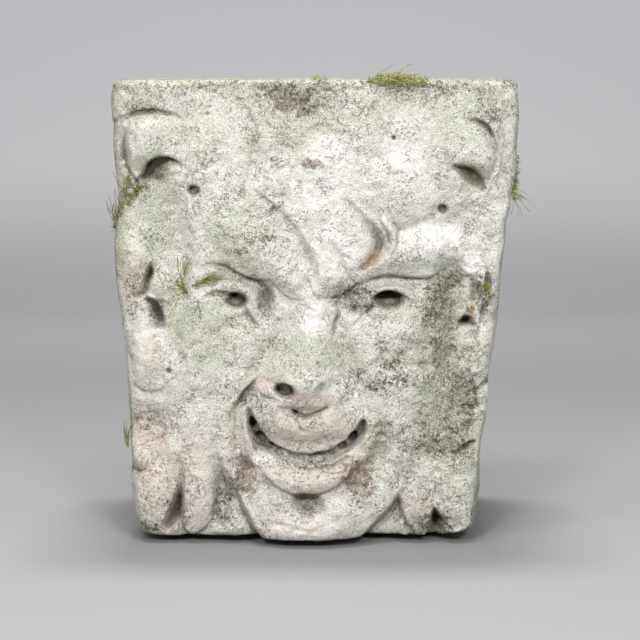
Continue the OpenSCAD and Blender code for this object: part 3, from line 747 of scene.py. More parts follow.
def signed_volume(mesh):
    co = coordinates(mesh)
    mesh.calc_loop_triangles()
    t = np.empty(len(mesh.loop_triangles) * 3, np.int32)
    mesh.loop_triangles.foreach_get("vertices", t)
    a, b, c = (co[t.reshape(-1, 3)[:, i]] for i in range(3))
    return float((a * np.cross(b, c)).sum() / 6)


# ---- weathering and painted shade, kept on the mesh as masks ---------------

# patches on the carved front: x, z, half width, half height, turn, amount
STAINS = {
    "algae": [
        (0, 277, 125, 29, 0, 0.26), (94, 256, 26, 40, 0, 0.22), (-107, 196, 16, 40, 0, 0.2),
        (84, 137, 17, 29, 0, 0.5), (78, 71, 24, 33, 0, 0.17), (-51, 206, 33, 25, -20, 0.5),
        (58, 157, 17, 11, 0, 0.3), (7, 127, 26, 17, 0, 0.45), (40, 71, 16, 17, 0, 0.4),
        (-57, 182, 20, 5, -10, 0.5), (-64, 137, 29, 26, 0, 0.5), (-100, 219, 17, 40, 0, 0.55),
        (-123, 213, 8, 46, 0, 0.9), (-18, 125, 17, 22, 0, 0.35), (79, 117, 18, 53, 0, 0.6),
        (96, 91, 13, 46, 0, 0.5), (87, 163, 13, 29, 0, 0.6), (103, 239, 8, 9, -30, 1),
        (-119, 285, 20, 16, 0, 0.35), (111, 285, 26, 13, 0, 0.35), (94, 45, 20, 33, 0, 0.3),
        (-53, 91, 9, 20, 0, 0.3), (-100, 244, 11, 8, 0, 0.6), (-8, 266, 26, 26, 0, 0.2),
        (53, 182, 26, 11, 0, 0.25), (-84, 157, 14, 26, 0, 0.45), (-74, 262, 20, 22, 0, 0.15),
        (22, 123, 17, 20, 0, 0.3),
    ],
    # dirt, and painted shade where patches lie in the mouth's gap and corners and under the upper
    # lids
    "dirt": [
        (30, 114, 5, 4, 0, 0.36), (40, 103, 7, 4, 20, 0.36), (44, 130, 5, 5, 0, 0.3),
        (49, 118, 6, 4, 20, 0.34), (80, 127, 5, 11, 0, 0.25), (84, 107, 9, 11, 0, 0.22),
        (97, 105, 7, 12, -10, 0.3), (101, 91, 6, 14, 0, 0.2), (63, 137, 9, 7, 0, 0.2),
        (55, 120, 11, 7, 20, 0.22), (69, 109, 11, 8, 0, 0.2), (70, 65, 13, 9, 0, 0.25),
        (-42, 99, 5, 10, -35, 0.5), (-56, 20, 7, 7, 0, 0.4), (-108, 11, 13, 6, 0, 0.5),
        (78, 163, 6, 9, 25, 0.45), (74, 145, 5, 10, 10, 0.45), (92, 175, 5, 8, 25, 0.4),
        (111, 165, 5, 6, 0, 0.6), (-24, 219, 9, 3, 40, 0.45), (-45, 229, 5, 5, 0, 0.35),
        (-33, 72, 8, 12, -20, 0.4), (-107, 282, 22, 5, 0, 0.2), (111, 282, 7, 16, 0, 0.25),
        (48, 109, 14, 9, 20, 0.22), (104, 91, 7, 17, 0, 0.35), (85, 142, 10, 37, 0, 0.28),
        (96, 92, 10, 30, 0, 0.28), (59, 127, 17, 16, 0, 0.2), (53, 101, 18, 13, 0, 0.22),
        (29, 162, 16, 12, -20, 0.53), (78, 22, 22, 16, 0, 0.14), (76, 157, 7, 17, 0, 0.34),
        (-115, 163, 6, 20, 0, 0.31), (-99, 152, 6, 11, 0, 0.62), (-107, 81, 20, 11, 0, 0.28),
        (-50, 46, 9, 20, 20, 0.22), (43, 65, 10, 22, -10, 0.3), (-37, 90, 8, 8, 0, 0.31),
        (-8, 29, 26, 5, 0, 0.22), (-29, 200, 7, 3, 0, 0.56), (-45, 192, 7, 3, 0, 0.5),
        (-99, 241, 9, 6, 0, 0.5), (25, 105, 11, 9, 0, 0.31), (104, 241, 8, 7, 0, 0.37),
        (109, 163, 9, 22, 0, 0.4), (-8, 286, 36, 11, 0, 0.34), (-80, 289, 40, 9, 0, 0.19),
        (78, 292, 40, 8, 0, 0.19), (-87, 25, 11, 22, 0, 0.31), (-58, 26, 8, 14, 0, 0.5),
        (79, 12, 16, 9, 0, 0.5), (-31, 157, 7, 11, 0, 0.31), (0, 55, 33, 6, 0, 0.31),
        (-8, 86, 9, 3, 0, 0.31), (-57, 162, 17, 5, 0, 0.25), (50, 162, 17, 5, 0, 0.31),
        (-107, 281, 20, 4, 0, 0.25), (116, 269, 5, 14, 0, 0.31), (40, 196, 4, 17, -10, 0.22),
        (94, 61, 14, 5, 0, 0.37), (76, 74, 17, 20, 0, 0.3), (61, 57, 9, 13, 0, 0.16),
        (71, 45, 12, 11, 0, 0.1), (55, 78, 9, 11, 0, 0.2), (91, 62, 16, 17, 0, 0.26),
        (82, 166, 7, 13, 0, 0.4), (-107, -1, 40, 5, 0, 0.37), (58, -1, 53, 5, 0, 0.31),
        (-41, 2, 33, 5, 0, 0.25),
    ],
    "blush": [
        (-3, 75, 36, 16, 0, 0.74), (-3, 45, 38, 13, 0, 0.61), (-5, 97, 22, 6, 0, 0.81),
        (-108, 75, 21, 18, 0, 0.81), (-90, 37, 28, 33, 0, 0.61), (-107, 124, 13, 22, 0, 0.47),
        (-115, 178, 13, 22, 0, 0.61), (36, 184, 8, 5, 24, 1), (28, 51, 17, 17, 0, 0.68),
        (-47, 65, 13, 29, 0, 0.47), (-8, 12, 40, 14, 0, 0.41), (65, 25, 17, 20, 0, 0.47),
        (-107, 48, 17, 8, 0, 0.68), (22, 157, 9, 12, 0, 0.41), (-33, 105, 11, 8, 0, 0.54),
        (-71, 229, 20, 16, 0, 0.2), (-74, 65, 17, 17, 0, 0.41),
    ],
    "brown": [
        (-3, 25, 6, 5, 0, 0.6), (-42, 47, 8, 16, 10, 0.72), (-107, 74, 13, 14, 0, 0.35),
        (84, 134, 8, 20, 0, 0.4), (-55, 15, 9, 8, 0, 0.5), (-12, 286, 14, 7, 12, 0.95),
        (-2, 280, 9, 5, 20, 0.85), (-21, 290, 9, 5, 0, 0.7), (-33, 294, 24, 4, 0, 0.3),
        (15, 293, 20, 5, 0, 0.3), (-11, 270, 9, 7, 0, 0.25), (-69, 249, 7, 8, 0, 0.3),
        (30, 43, 13, 16, 0, 0.75), (-51, 40, 9, 13, 0, 0.5), (102, 155, 3, 3, 0, 1),
        (0, 247, 7, 4, 0, 0.8), (-8, 295, 33, 3, 0, 0.35), (53, 112, 11, 11, 0, 0.4),
        (71, 132, 9, 8, 0, 0.4),
    ],
    "rust": [
        (42, 190, 3, 5, -20, 0.7), (39, 186, 5, 3, -40, 0.9), (102, 155, 2, 4, 15, 1),
    ],
    "bare": [
        (7, 256, 13, 9, 0, 1), (7, 256, 11, 8, 0, 1), (3, 146, 11, 14, 0, 0.55),
        (104, 178, 7, 10, 10, 0.4), (-115, 191, 9, 17, 0, 0.5), (-74, 37, 8, 22, 0, 0.3),
        (14, 190, 14, 22, 0, 0.35), (-61, 262, 20, 33, 0, 0.25), (-8, 236, 33, 20, 0, 0.2),
        (65, 262, 20, 26, 0, 0.2), (0, 71, 13, 8, 0, 0.25), (-4, 109, 13, 8, 0, 0.2),
        (-8, 11, 22, 9, 0, 0.35), (51, 243, 26, 20, 0, 0.2), (76, 202, 20, 8, 0, 0.35),
        (-108, 130, 7, 17, 0, 0.4),
    ],
}
MOST = {"dirt": 0.5, "brown": 0.85}  # the thickest cover where patches overlap


def weather_and_shade(stone, face):
    """Masks on the stone's points, from 0 to 1, for stains, growth and painted shade; the finish
    reads them by name.
    """
    co = coordinates(stone.data)
    x, z = co[:, 0] / MM, co[:, 2] / MM + HEIGHT / 2
    depth = -co[:, 1] / MM
    front = on_face(face, co)
    p = co / MM
    broken = wander3(p, 11, SEED + 30, 3)
    broad = wander3(p, 48, SEED + 31, 3)
    patchy = wander3(p, 24, SEED + 32, 3)
    # painted shade: the next two masks darken the carving's hollows, and its deepest recesses most,
    # by how far the surface sinks below a softened copy of itself
    shape = np.clip(face.h, 0, 60)
    fine = face.at(blurred(shape, 2.2, STEP) - shape, x, z)
    wide = face.at(blurred(shape, 8.0, STEP) - shape, x, z)
    hollow = smooth((fine - 0.3) / 3.4) * 0.75 + smooth((wide - 1.5) / 8.0) * 0.5
    deep = smooth((fine - 2.6) / 3.6)
    masks = {"hollow": np.clip(hollow, 0, 1) * front, "deep": deep * front}
    for name, patches in STAINS.items():
        amount = np.zeros(len(co))
        for cx, cz, rx, rz, turn, most in patches:
            a = math.radians(turn)
            dx, dz = x - cx + 3 * broken, z - cz + 3 * patchy
            u = (dx * math.cos(a) + dz * math.sin(a)) / rx
            v = (dz * math.cos(a) - dx * math.sin(a)) / rz
            spot = most * np.clip(1.25 - (u * u + v * v), 0, 1)
            amount = amount + spot - amount * spot
        masks[name] = np.minimum(amount, MOST.get(name, 1)) * front
    plain = 1 - front
    low = smooth((60 - z) / 60)
    high = smooth((z - 290) / 8)
    masks["algae"] += front * 0.4 * high
    masks["dirt"] += front * 0.27 * high
    near_wall = smooth((TAIL - depth) / 30)
    masks["algae"] += plain * np.clip(0.3 + 0.6 * broad + 0.4 * high - 0.2 * near_wall, 0, 1)
    masks["dirt"] += plain * np.clip(0.08 + 0.4 * patchy + 0.25 * low + 0.3 * high, 0, 1)
    masks["blush"] += plain * np.clip(0.15 + 0.5 * broken - 0.1 * broad, 0, 1) * 0.6
    masks["brown"] += plain * np.clip(0.5 * broad - 0.2 + 0.2 * near_wall, 0, 1)
    masks["bare"] += plain * np.clip(0.45 * patchy - 0.1, 0, 1)
    for name, values in masks.items():
        layer = stone.data.attributes.new(name, "FLOAT", "POINT")
        layer.data.foreach_set("value", np.clip(values, 0, 1).astype(np.float32))


# ---- finishes -------------------------------------------------------------


def tone(r, g, b):
    """A colour given as it shows on a screen, 0 to 255, in the renderer's own numbers."""
    return tuple(
        c / 12.92 if c <= 0.04045 else ((c + 0.055) / 1.055) ** 2.4
        for c in (r / 255, g / 255, b / 255)
    ) + (1.0,)


class Nodes:
    """Places shader or geometry nodes in a tree and joins them."""

    def __init__(self, tree):
        self.tree = tree
        self.count = 0

    def add(self, kind, settings=None, **inputs):
        node = self.tree.nodes.new(kind)
        node.location = (220 * (self.count % 8), -260 * (self.count // 8))
        self.count += 1
        for name, value in (settings or {}).items():
            setattr(node, name, value)
        for name, value in inputs.items():
            self.put(node, name, value)
        return node

    def put(self, node, name, value):
        if name.startswith("_"):
            socket = node.inputs[int(name[1:])]
        else:
            socket = node.inputs[name.replace("_", " ")]
        if isinstance(value, bpy.types.NodeSocket):
            self.tree.links.new(value, socket)
        else:
            socket.default_value = value

    def maths(self, operation, a, b=0.0, clamp=False):
        node = self.add("ShaderNodeMath", {"operation": operation, "use_clamp": clamp}, _0=a, _1=b)
        return node.outputs[0]

    def ramp(self, value, low, high, to_low=0.0, to_high=1.0):
        node = self.add(
            "ShaderNodeMapRange",
            {"interpolation_type": "SMOOTHSTEP"},
            Value=value,
            From_Min=low,
            From_Max=high,
            To_Min=to_low,
            To_Max=to_high,
        )
        return node.outputs["Result"]

    def noise(self, vector, scale, detail=3.0, roughness=0.55, distortion=0.0):
        node = self.add(
            "ShaderNodeTexNoise",
            Vector=vector,
            Scale=scale,
            Detail=detail,
            Roughness=roughness,
            Distortion=distortion,
        )
        return node.outputs["Fac"]

    def blend(self, amount, a, b, kind="MIX"):
        node = self.add("ShaderNodeMix", {"data_type": "RGBA", "blend_type": kind})
        self.put(node, "_0", amount)
        self.put(node, "_6", a)
        self.put(node, "_7", b)
        return node.outputs[2]

    def mask(self, name):
        node = self.add("ShaderNodeAttribute", {"attribute_name": name})
        return node.outputs["Fac"]


def shader_group(name, ins, outs):
    """An empty shader group with named sockets; gives the group, its nodes, inputs and outputs."""
    group = bpy.data.node_groups.new(name, "ShaderNodeTree")
    kinds = {"value": "NodeSocketFloat", "colour": "NodeSocketColor", "vector": "NodeSocketVector"}
    for label, kind, default in ins:
        socket = group.interface.new_socket(label, in_out="INPUT", socket_type=kinds[kind])
        if default is not None:
            socket.default_value = default
    for label, kind in outs:
        group.interface.new_socket(label, in_out="OUTPUT", socket_type=kinds[kind])
    n = Nodes(group)
    return group, n, n.add("NodeGroupInput").outputs, n.add("NodeGroupOutput").inputs


def grain_group():
    """Sugary stone grain with pits and hairline creases. Sizes are waves or cells to the metre."""
    group, n, given, gives = shader_group(
        "stone_grain",
        [
            ("Vector", "vector", None),
            ("Grain", "value", 850.0),
            ("Pits", "value", 460.0),
            ("Crumble", "value", 190.0),
            ("Creases", "value", 75.0),
        ],
        [(label, "value") for label in ("Speck", "Pit", "Crease", "Cloud", "Height")],
    )
    place = given["Vector"]
    fine = n.noise(place, given["Grain"], 4.0, 0.7)
    crumble = n.noise(place, given["Crumble"], 5.0, 0.7, 0.6)
    cloud = n.noise(place, 42.0, 4.0, 0.6, 0.4)
    stray = n.add("ShaderNodeTexNoise", Vector=place, Scale=900.0).outputs["Color"]
    ragged = n.blend(0.004, place, stray, "ADD")
    cells = n.add("ShaderNodeTexVoronoi", Vector=ragged, Scale=given["Pits"])
    deep = n.ramp(cells.outputs["Distance"], 0.16, 0.36, 1.0, 0.0)
    open_here = n.ramp(n.noise(place, 60.0, 3.0), 0.46, 0.64)
    pit = n.maths("MULTIPLY", deep, open_here)
    # creases run where a twisted noise passes through its middle value
    lines = n.noise(place, given["Creases"], 3.0, 0.6, 1.6)
    off = n.maths("ABSOLUTE", n.maths("SUBTRACT", lines, 0.5))
    broken = n.ramp(n.noise(place, 95.0, 2.0), 0.5, 0.62)
    crease = n.maths("MULTIPLY", n.ramp(off, 0.004, 0.02, 1.0, 0.0), broken)
    sunk = n.maths("ADD", n.maths("MULTIPLY", pit, 0.7), n.maths("MULTIPLY", crease, 0.5))
    grit = n.maths("ADD", n.maths("MULTIPLY", fine, 0.75), crumble)
    height = n.maths("SUBTRACT", grit, sunk)
    made = {"Speck": fine, "Pit": pit, "Crease": crease, "Cloud": cloud, "Height": height}
    for label, value in made.items():
        group.links.new(value, gives[label])
    return group


def film_group():
    """A film over a colour, for growth, stains and painted shade alike. Where the mask is half,
    half of it is covered.
    """
    group, n, given, gives = shader_group(
        "broken_film",
        [
            ("Under", "colour", (0.5, 0.5, 0.5, 1)),
            ("Film", "colour", (0.2, 0.2, 0.1, 1)),
            ("Mask", "value", 0.0),
            ("Noise", "value", 0.5),
            ("Edge", "value", 0.3),
            ("Strength", "value", 1.0),
        ],
        [("Color", "colour")],
    )
    spread = n.add("ShaderNodeMapRange", Value=given["Noise"], From_Min=0.38, From_Max=0.62)
    limit = n.maths("SUBTRACT", 1.0, given["Mask"])
    cover = n.add(
        "ShaderNodeMapRange",
        {"interpolation_type": "SMOOTHSTEP"},
        Value=spread.outputs["Result"],
        From_Min=n.maths("SUBTRACT", limit, given["Edge"]),
        From_Max=n.maths("ADD", limit, given["Edge"]),
    ).outputs["Result"]
    held = n.maths("MULTIPLY", cover, n.ramp(given["Mask"], 0.0, 0.15))
    cover = n.maths("MULTIPLY", held, given["Strength"], True)
    group.links.new(n.blend(cover, given["Under"], given["Film"]), gives["Color"])
    return group


def new_material(name):
    material = bpy.data.materials.new(name)
    material.use_nodes = True
    material.node_tree.nodes.clear()
    n = Nodes(material.node_tree)
    shader = n.add("ShaderNodeBsdfPrincipled")
    end = n.add("ShaderNodeOutputMaterial")
    n.tree.links.new(shader.outputs["BSDF"], end.inputs["Surface"])
    return material, n, shader


def use(n, group, **inputs):
    node = n.add("ShaderNodeGroup", {"node_tree": group})
    for name, value in inputs.items():
        n.put(node, name, value)
    return node.outputs


def limestone(grain, film):
    material, n, shader = new_material("weathered_limestone")
    place = n.add("ShaderNodeTexCoord").outputs["Object"]
    stone = use(n, grain, Vector=place)
    finer = n.noise(place, 1500.0, 2.0, 0.6)
    blotch = n.noise(place, 130.0, 5.0, 0.7, 0.5)
    mottle = n.noise(place, 380.0, 4.0, 0.75)
    clumps = n.maths("ADD", n.maths("MULTIPLY", mottle, 0.5), n.maths("MULTIPLY", blotch, 0.5))
    gritty = n.noise(place, 290.0, 7.0, 0.85, 0.3)
    colour = n.blend(n.ramp(stone["Cloud"], 0.35, 0.65), tone(216, 214, 203), tone(234, 232, 226))
    colour = n.blend(n.ramp(blotch, 0.45, 0.7, 0.0, 0.5), colour, tone(243, 242, 238))
    colour = n.blend(n.ramp(mottle, 0.5, 0.3, 0.0, 0.4), colour, tone(170, 166, 154))
    patchy = n.ramp(mottle, 0.42, 0.6)
    # a dark soil film, laid as dirt and, in the mouth and under the lids, as painted shade
    soil_and_shade = n.blend(patchy, tone(54, 48, 36), tone(142, 134, 110))
    umber = n.blend(patchy, tone(92, 75, 62), tone(160, 141, 126))
    for name, shade, noise, edge, strength in (
        ("bare", tone(250, 246, 244), blotch, 0.6, 0.9),
        ("blush", tone(214, 198, 186), blotch, 0.5, 0.85),
        ("brown", umber, gritty, 0.2, 0.8),
        ("algae", tone(186, 190, 160), clumps, 0.45, 0.75),
        ("rust", tone(212, 166, 130), blotch, 0.5, 0.6),
        ("dirt", soil_and_shade, gritty, 0.13, 0.9),
        # painted shade: a grey-brown film over the carving's hollows and a near black one in its
        # deepest recesses
        ("hollow", tone(132, 121, 104), clumps, 0.45, 0.7),
        ("deep", tone(58, 49, 40), blotch, 0.5, 0.8),
    ):
        laid = {"Under": colour, "Film": shade, "Mask": n.mask(name), "Noise": noise}
        colour = use(n, film, **laid, Edge=edge, Strength=strength)["Color"]
    soiled_and_shaded = n.maths("MULTIPLY", n.mask("dirt"), 1.2)
    grime_and_shade = n.maths("ADD", soiled_and_shaded, n.maths("MULTIPLY", n.mask("algae"), 0.4))
    reach = n.maths("ADD", 0.39, n.maths("MULTIPLY", grime_and_shade, 0.13))
    reach = n.maths("SUBTRACT", reach, n.maths("MULTIPLY", n.mask("bare"), 0.16))
    specks = n.ramp(n.maths("SUBTRACT", finer, reach), 0.07, -0.02)
    colour = n.blend(n.maths("MULTIPLY", specks, 0.7), colour, tone(86, 81, 66))
    bright = n.ramp(stone["Speck"], 0.55, 0.75, 0.0, 0.35)
    colour = n.blend(bright, colour, tone(246, 245, 242))
    # painted shade in the grain's pits and along its hairline creases
    colour = n.blend(n.maths("MULTIPLY", stone["Pit"], 0.32), colour, tone(104, 96, 81))
    colour = n.blend(n.maths("MULTIPLY", stone["Crease"], 0.5), colour, tone(112, 104, 88))
    n.put(shader, "Base Color", colour)
    n.put(shader, "Roughness", n.ramp(mottle, 0.3, 0.7, 0.82, 0.98))
    shader.inputs["Specular IOR Level"].default_value = 0.25
    bump = n.add("ShaderNodeBump", Height=stone["Height"], Strength=1.0, Distance=0.0023)
    n.put(shader, "Normal", bump.outputs["Normal"])
    return material


def mossy_green():
    material, n, shader = new_material("moss_green")
    place = n.add("ShaderNodeTexCoord").outputs["Object"]
    patch = n.ramp(n.noise(place, 160.0, 3.0), 0.35, 0.65)
    strand = n.ramp(n.noise(place, 1400.0, 2.0), 0.3, 0.7)
    colour = n.blend(patch, tone(108, 118, 38), tone(172, 174, 80))
    colour = n.blend(n.maths("MULTIPLY", strand, 0.6), colour, tone(104, 94, 52))
    n.put(shader, "Base Color", colour)
    n.put(shader, "Roughness", n.ramp(strand, 0.0, 1.0, 0.6, 0.85))
    shader.inputs["Specular IOR Level"].default_value = 0.3
    return material


def backdrop_grey():
    material, n, shader = new_material("studio_grey")
    place = n.add("ShaderNodeTexCoord").outputs["Object"]
    axes = n.add("ShaderNodeSeparateXYZ", Vector=place).outputs
    # painted light: the grey is lighter on the far floor and lighter still up the sweep than on the
    # near floor, standing in for how the studio light falls across one plain sheet
    colour = n.blend(n.ramp(axes["Y"], -0.5, 0.5), tone(139, 139, 139), tone(136, 136, 136))
    colour = n.blend(n.ramp(axes["Y"], 0.5, 1.2), colour, tone(154, 154, 155))
    colour = n.blend(n.ramp(axes["Z"], -0.14, 0.02), colour, tone(181, 180, 183))
    colour = n.blend(n.ramp(axes["Z"], 0.05, 0.25), colour, tone(180, 179, 183))
    n.put(shader, "Base Color", colour)
    n.put(shader, "Roughness", n.ramp(n.noise(place, 6.0), 0.3, 0.7, 0.7, 0.8))
    shader.inputs["Specular IOR Level"].default_value = 0.1
    return material


# ---- moss -----------------------------------------------------------------

# lines of growth: x, z and breadth on the front; x, depth and breadth on top
MOSS = {
    "moss_tufts": {
        "Spacing": 0.00018,
        "Shortest": 0.0012,
        "Longest": 0.0042,
        "Slimness": 0.065,
        "Disorder": 1.1,
        "Seed": 7,
        "patches": [
            {"on": "top", "out": (0.1, -1, 0.3), "line": [
                (36, 178, 1.2), (42, 180, 2), (48, 181, 2.4), (57, 181, 2.8), (66, 181, 2),
                (73, 180, 1.2),
            ]},
            {"on": "top", "out": (0, -0.8, 0.8), "line": [
                (42, 175, 1.6), (51, 176, 2), (59, 175, 1.4),
            ]},
            {"on": "top", "out": (0, -1, 0.5), "line": [
                (0.5, 176, 0.7), (6, 177, 0.9), (10, 176, 0.6),
            ]},
            {"on": "front", "out": (-0.5, -1, 0.3), "line": [
                (-104.8, 233.3, 0.8), (-108.7, 230.7, 1.4), (-112.7, 228, 1.8), (-116, 224.1, 2.2),
                (-119.3, 219.4, 2.2), (-121.9, 214.2, 2), (-124.6, 208.9, 1.5),
                (-126.5, 203.6, 0.8),
            ]},
            {"on": "front", "out": (-0.6, -1, 0.3), "line": [
                (-117.3, 238.6, 0.5), (-115.3, 233.3, 0.8), (-113.3, 229.3, 0.9),
            ]},
            {"on": "front", "out": (-0.3, -1, 0.5), "line": [
                (-87.6, 171.3, 0.7), (-83, 167.4, 1.5), (-79.7, 162.8, 1),
            ]},
            {"on": "front", "out": (0.2, -1, -0.3), "line": [
                (110.7, 169.4, 0.7), (112, 166.1, 1), (112.7, 162.1, 0.7),
            ]},
            {"on": "front", "out": (1, -0.6, 0.2), "line": [
                (130.5, 251.1, 0.4), (130.5, 243.8, 0.6), (130.2, 235.9, 0.8), (129.8, 228, 1),
                (129.2, 223.4, 0.7),
            ]},
        ],
    },
    "moss_strands": {
        "Spacing": 0.00045,
        "Shortest": 0.005,
        "Longest": 0.017,
        "Slimness": 0.013,
        "Disorder": 0.55,
        "Seed": 23,
        "patches": [
            {"on": "top", "out": (0.8, -0.6, 0.5), "line": [
                (36, 178, 2.2), (48, 180, 2.4), (60, 179, 2.2),
            ]},
            {"on": "front", "out": (-0.5, -0.5, 0.9), "line": [
                (-117.3, 225.4, 1.5), (-122.6, 214.8, 2), (-126.5, 205.6, 1.5),
            ]},
            {"on": "front", "out": (0.1, -0.25, 1), "line": [
                (-83.7, 166.1, 1.6), (-82.4, 172.7, 1.2), (-81.7, 177.9, 0.8),
            ]},
            {"on": "front", "out": (1, -0.25, 0.45), "line": [
                (-80.4, 166.1, 0.8), (-73.8, 170, 0.4), (-65.9, 174.6, 0.25),
            ]},
            {"on": "front", "out": (-1, -0.25, 0.3), "line": [
                (-85.7, 166.1, 1.2), (-90.9, 167.4, 0.8),
            ]},
            {"on": "front", "out": (1, -0.35, 0.7), "line": [
                (-82.4, 167.4, 1.4), (-80.4, 168.7, 1.4),
            ]},
            {"on": "front", "out": (-0.7, -0.35, -0.7), "line": [
                (-84.4, 165.4, 1.4), (-86.3, 163.4, 1.4),
            ]},
            {"on": "front", "out": (0.9, -0.35, -0.3), "line": [
                (-81.7, 165.4, 1.4), (-79.1, 164.8, 1.4),
            ]},
            {"on": "front", "out": (0.5, -0.5, -0.6), "line": [(130.2, 232, 1), (129.8, 224.7, 1)]},
            {"on": "front", "out": (-0.3, -0.6, 1), "line": [
                (-119.9, 60.6, 0.6), (-119.9, 67.2, 0.6),
            ]},
        ],
    },
}


def moss_tree(material):
    """Geometry nodes: tapered, bent shoots thrown along the lines of growth."""
    tree = bpy.data.node_groups.new("moss_shoots", "GeometryNodeTree")
    face = tree.interface
    face.new_socket("Geometry", in_out="INPUT", socket_type="NodeSocketGeometry")
    for label, value in (
        ("Spacing", 0.0002),
        ("Shortest", 0.0015),
        ("Longest", 0.0045),
        ("Slimness", 0.07),
        ("Disorder", 0.9),
    ):
        socket = face.new_socket(label, in_out="INPUT", socket_type="NodeSocketFloat")
        socket.default_value = value
    face.new_socket("Seed", in_out="INPUT", socket_type="NodeSocketInt").default_value = 7
    face.new_socket("Geometry", in_out="OUTPUT", socket_type="NodeSocketGeometry")
    n = Nodes(tree)
    given = n.add("NodeGroupInput").outputs
    lines = n.add("GeometryNodeMeshToCurve", Mesh=given["Geometry"]).outputs[0]
    resample = n.add("GeometryNodeResampleCurve")
    resample.mode = "LENGTH"
    n.put(resample, "Curve", lines)
    n.put(resample, "Length", given["Spacing"])
    points = n.add("GeometryNodeCurveToPoints", {"mode": "EVALUATED"}, Curve=resample.outputs[0])

    def attribute(name, kind):
        node = n.add("GeometryNodeInputNamedAttribute", {"data_type": kind})
        node.inputs["Name"].default_value = name
        return node.outputs["Attribute"]

    def chance(low, high, step, kind="FLOAT_VECTOR"):
        node = n.add("FunctionNodeRandomValue", {"data_type": kind})
        at = 0 if kind == "FLOAT_VECTOR" else 2
        n.put(node, f"_{at}", low)
        n.put(node, f"_{at + 1}", high)
        seed = n.maths("ADD", given["Seed"], float(step))
        n.tree.links.new(seed, node.inputs["Seed"])
        return node.outputs[0 if kind == "FLOAT_VECTOR" else 1]

    def vectors(operation, a, b):
        node = n.add("ShaderNodeVectorMath", {"operation": operation}, _0=a)
        n.put(node, "_3" if operation == "SCALE" else "_1", b)
        return node.outputs[0]

    stray = vectors("SCALE", chance((-1, -1, -1), (1, 1, 1), 1), attribute("breadth", "FLOAT"))
    moved = n.add("GeometryNodeSetPosition", Geometry=points.outputs["Points"], Offset=stray)
    aim = vectors(
        "ADD",
        attribute("outward", "FLOAT_VECTOR"),
        vectors("SCALE", chance((-1, -1, -1), (1, 1, 1), 2), given["Disorder"]),
    )
    turned = n.add("FunctionNodeAlignRotationToVector", {"axis": "Z"}, Vector=aim)

    line = n.add("GeometryNodeCurvePrimitiveLine", Start=(0, 0, 0), End=(0, 0, 1)).outputs[0]
    stem = n.add("GeometryNodeResampleCurve")
    n.put(stem, "Curve", line)
    n.put(stem, "Count", 4)
    place = n.add("GeometryNodeInputPosition").outputs[0]
    up = n.add("ShaderNodeSeparateXYZ", Vector=place).outputs["Z"]
    droop = n.maths("MULTIPLY", n.maths("MULTIPLY", up, up), 0.35)
    bend = n.add("ShaderNodeCombineXYZ", X=droop).outputs[0]
    bent = n.add("GeometryNodeSetPosition", Geometry=stem.outputs[0], Offset=bend)
    taper = n.maths("SUBTRACT", 1.0, n.maths("MULTIPLY", up, 0.82))
    bent = n.add("GeometryNodeSetCurveRadius", Curve=bent.outputs[0], Radius=taper)
    ring = n.add("GeometryNodeCurvePrimitiveCircle", Resolution=3, Radius=given["Slimness"])
    shoot = n.add("GeometryNodeCurveToMesh", Curve=bent.outputs[0], Profile_Curve=ring.outputs[0])
    shoot.inputs["Fill Caps"].default_value = True

    length = chance(given["Shortest"], given["Longest"], 3, "FLOAT")
    grown = n.add(
        "GeometryNodeInstanceOnPoints",
        Points=moved.outputs[0],
        Instance=shoot.outputs[0],
        Rotation=turned.outputs[0],
        Scale=length,
    )
    real = n.add("GeometryNodeRealizeInstances", Geometry=grown.outputs[0])
    soft = n.add("GeometryNodeSetShadeSmooth", Geometry=real.outputs[0])
    green = n.add("GeometryNodeSetMaterial", Geometry=soft.outputs[0], Material=material)
    end = n.add("NodeGroupOutput")
    n.tree.links.new(green.outputs[0], end.inputs[0])
    return tree


def surface_point(face, x, z):
    """A point on the carved front, in metres, from x and z in millimetres."""
    rise = float(face.at(face.h, np.array([x]), np.array([z]))[0])
    left = np.interp(z, *np.array(LEFT_SIDE).T[::-1]) + 1.5
    right = np.interp(z, *np.array(RIGHT_SIDE).T[::-1]) - 1.5
    inset = max(0.0, ARRIS - min(x - left, right - x))
    rounding = ARRIS - math.sqrt(max(0.0, ARRIS**2 - inset**2))
    return (x * MM, -(GROUND + rise - rounding - 0.6) * MM, (z - HEIGHT / 2) * MM)


def build_moss(face, material, kind):
    """One piece of moss: its lines of growth, grown over and made a plain mesh."""
    points, edges, breadth, outward = [], [], [], []
    for patch in MOSS[kind]["patches"]:
        start = len(points)
        for row in through(patch["line"], 6):
            if patch["on"] == "top":
                points.append((row[0] * MM, -row[1] * MM, (HEIGHT / 2 - 0.8) * MM))
            else:
                points.append(surface_point(face, row[0], row[1]))
            breadth.append(row[2] * MM)
            outward.append(patch["out"])
        edges += [(i, i + 1) for i in range(start, len(points) - 1)]
    mesh = bpy.data.meshes.new(kind)
    mesh.from_pydata(points, edges, [])
    mesh.attributes.new("breadth", "FLOAT", "POINT").data.foreach_set("value", breadth)
    layer = mesh.attributes.new("outward", "FLOAT_VECTOR", "POINT")
    layer.data.foreach_set("vector", np.array(outward, np.float32).ravel())
    lines = placed("lines_of_growth", mesh)
    tree = moss_tree(material)
    growth = lines.modifiers.new("growth", "NODES")
    growth.node_group = tree
    for item in tree.interface.items_tree:
        if item.item_type == "SOCKET" and item.in_out == "INPUT" and item.name in MOSS[kind]:
            growth[item.identifier] = MOSS[kind][item.name]
    grown = finished_mesh(lines)
    grown.name = kind
    bpy.data.objects.remove(lines)
    return placed(kind, grown)


# ---- stage, lights and camera ----------------------------------------------


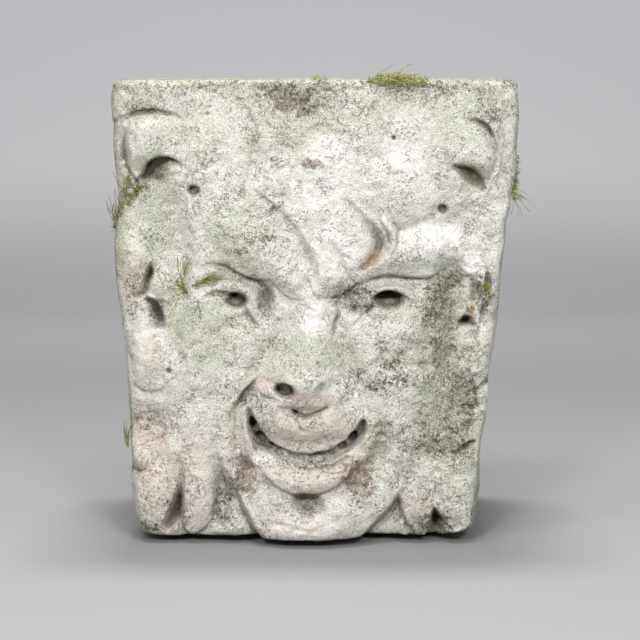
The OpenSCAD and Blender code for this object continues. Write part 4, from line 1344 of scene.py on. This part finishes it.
def build_stage(material):
    """A floor that sweeps up into a backdrop in one sheet."""
    floor, bend, radius, top, side = -HEIGHT / 2 * MM, 1.2, 0.8, 2.6, 5.0
    profile = [(-side, floor), (0.0, floor), (bend, floor)]
    for i in range(1, 13):
        a = math.radians(90 * i / 12)
        profile.append((bend + radius * math.sin(a), floor + radius * (1 - math.cos(a))))
    profile.append((bend + radius, top))
    points = [(x, y, z) for x in (-side, side) for y, z in profile]
    n = len(profile)
    faces = [(i, i + n, i + n + 1, i + 1) for i in range(n - 1)]
    mesh = bpy.data.meshes.new("backdrop")
    mesh.from_pydata(points, [], faces)
    mesh.shade_smooth()
    mesh.materials.append(material)
    return placed("backdrop", mesh)


def area_light(name, place, target, power, width, height):
    lamp = bpy.data.lights.new(name, "AREA")
    lamp.shape = "RECTANGLE"
    lamp.size, lamp.size_y = width, height
    lamp.energy = power
    light = placed(name, lamp)
    light.location = place
    away = Vector(place) - Vector(target)
    light.rotation_euler = away.to_track_quat("Z", "Y").to_euler()


def light_studio():
    area_light("key_left", (-0.47, -1.9, 0.85), (0, -0.1, 0), 20, 0.3, 0.3)
    area_light("key_right", (0.47, -1.9, 0.85), (0, -0.1, 0), 20.5, 0.3, 0.3)
    area_light("overhead", (0, 0.25, 1.8), (0, -0.15, 0), 34, 0.5, 0.35)
    area_light("high_front", (-0.15, -0.85, 1.7), (0, -0.15, 0), 20, 0.9, 0.5)
    world = bpy.data.worlds.new("studio")
    world.use_nodes = True
    sky = world.node_tree.nodes["Background"]
    sky.inputs["Color"].default_value = (1, 1, 1, 1)
    sky.inputs["Strength"].default_value = 0.38
    bpy.context.scene.world = world


LOOKS_DOWN = 6.43  # tilt of the camera, in degrees


def build_camera():
    lens = bpy.data.cameras.new("camera")
    lens.sensor_width = 36.0
    lens.lens = 131.9
    camera = placed("camera", lens)
    camera.location = (0.0053, -1.67, 0.165)
    camera.rotation_euler = (math.radians(90 - LOOKS_DOWN), 0, 0)
    bpy.context.scene.camera = camera


# ---- everything together ----------------------------------------------------

canvas = Canvas()
carve(canvas)
wear(canvas)

stone = build_stone(canvas)
weather_and_shade(stone, canvas)
grain, film = grain_group(), film_group()
stone.data.materials.append(limestone(grain, film))
green = mossy_green()
mosses = [build_moss(canvas, green, kind) for kind in MOSS]
backdrop = build_stage(backdrop_grey())

light_studio()
build_camera()
bpy.context.scene.view_settings.view_transform = "Standard"

for piece in [stone] + mosses:
    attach(piece, "root")
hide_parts("corbel")
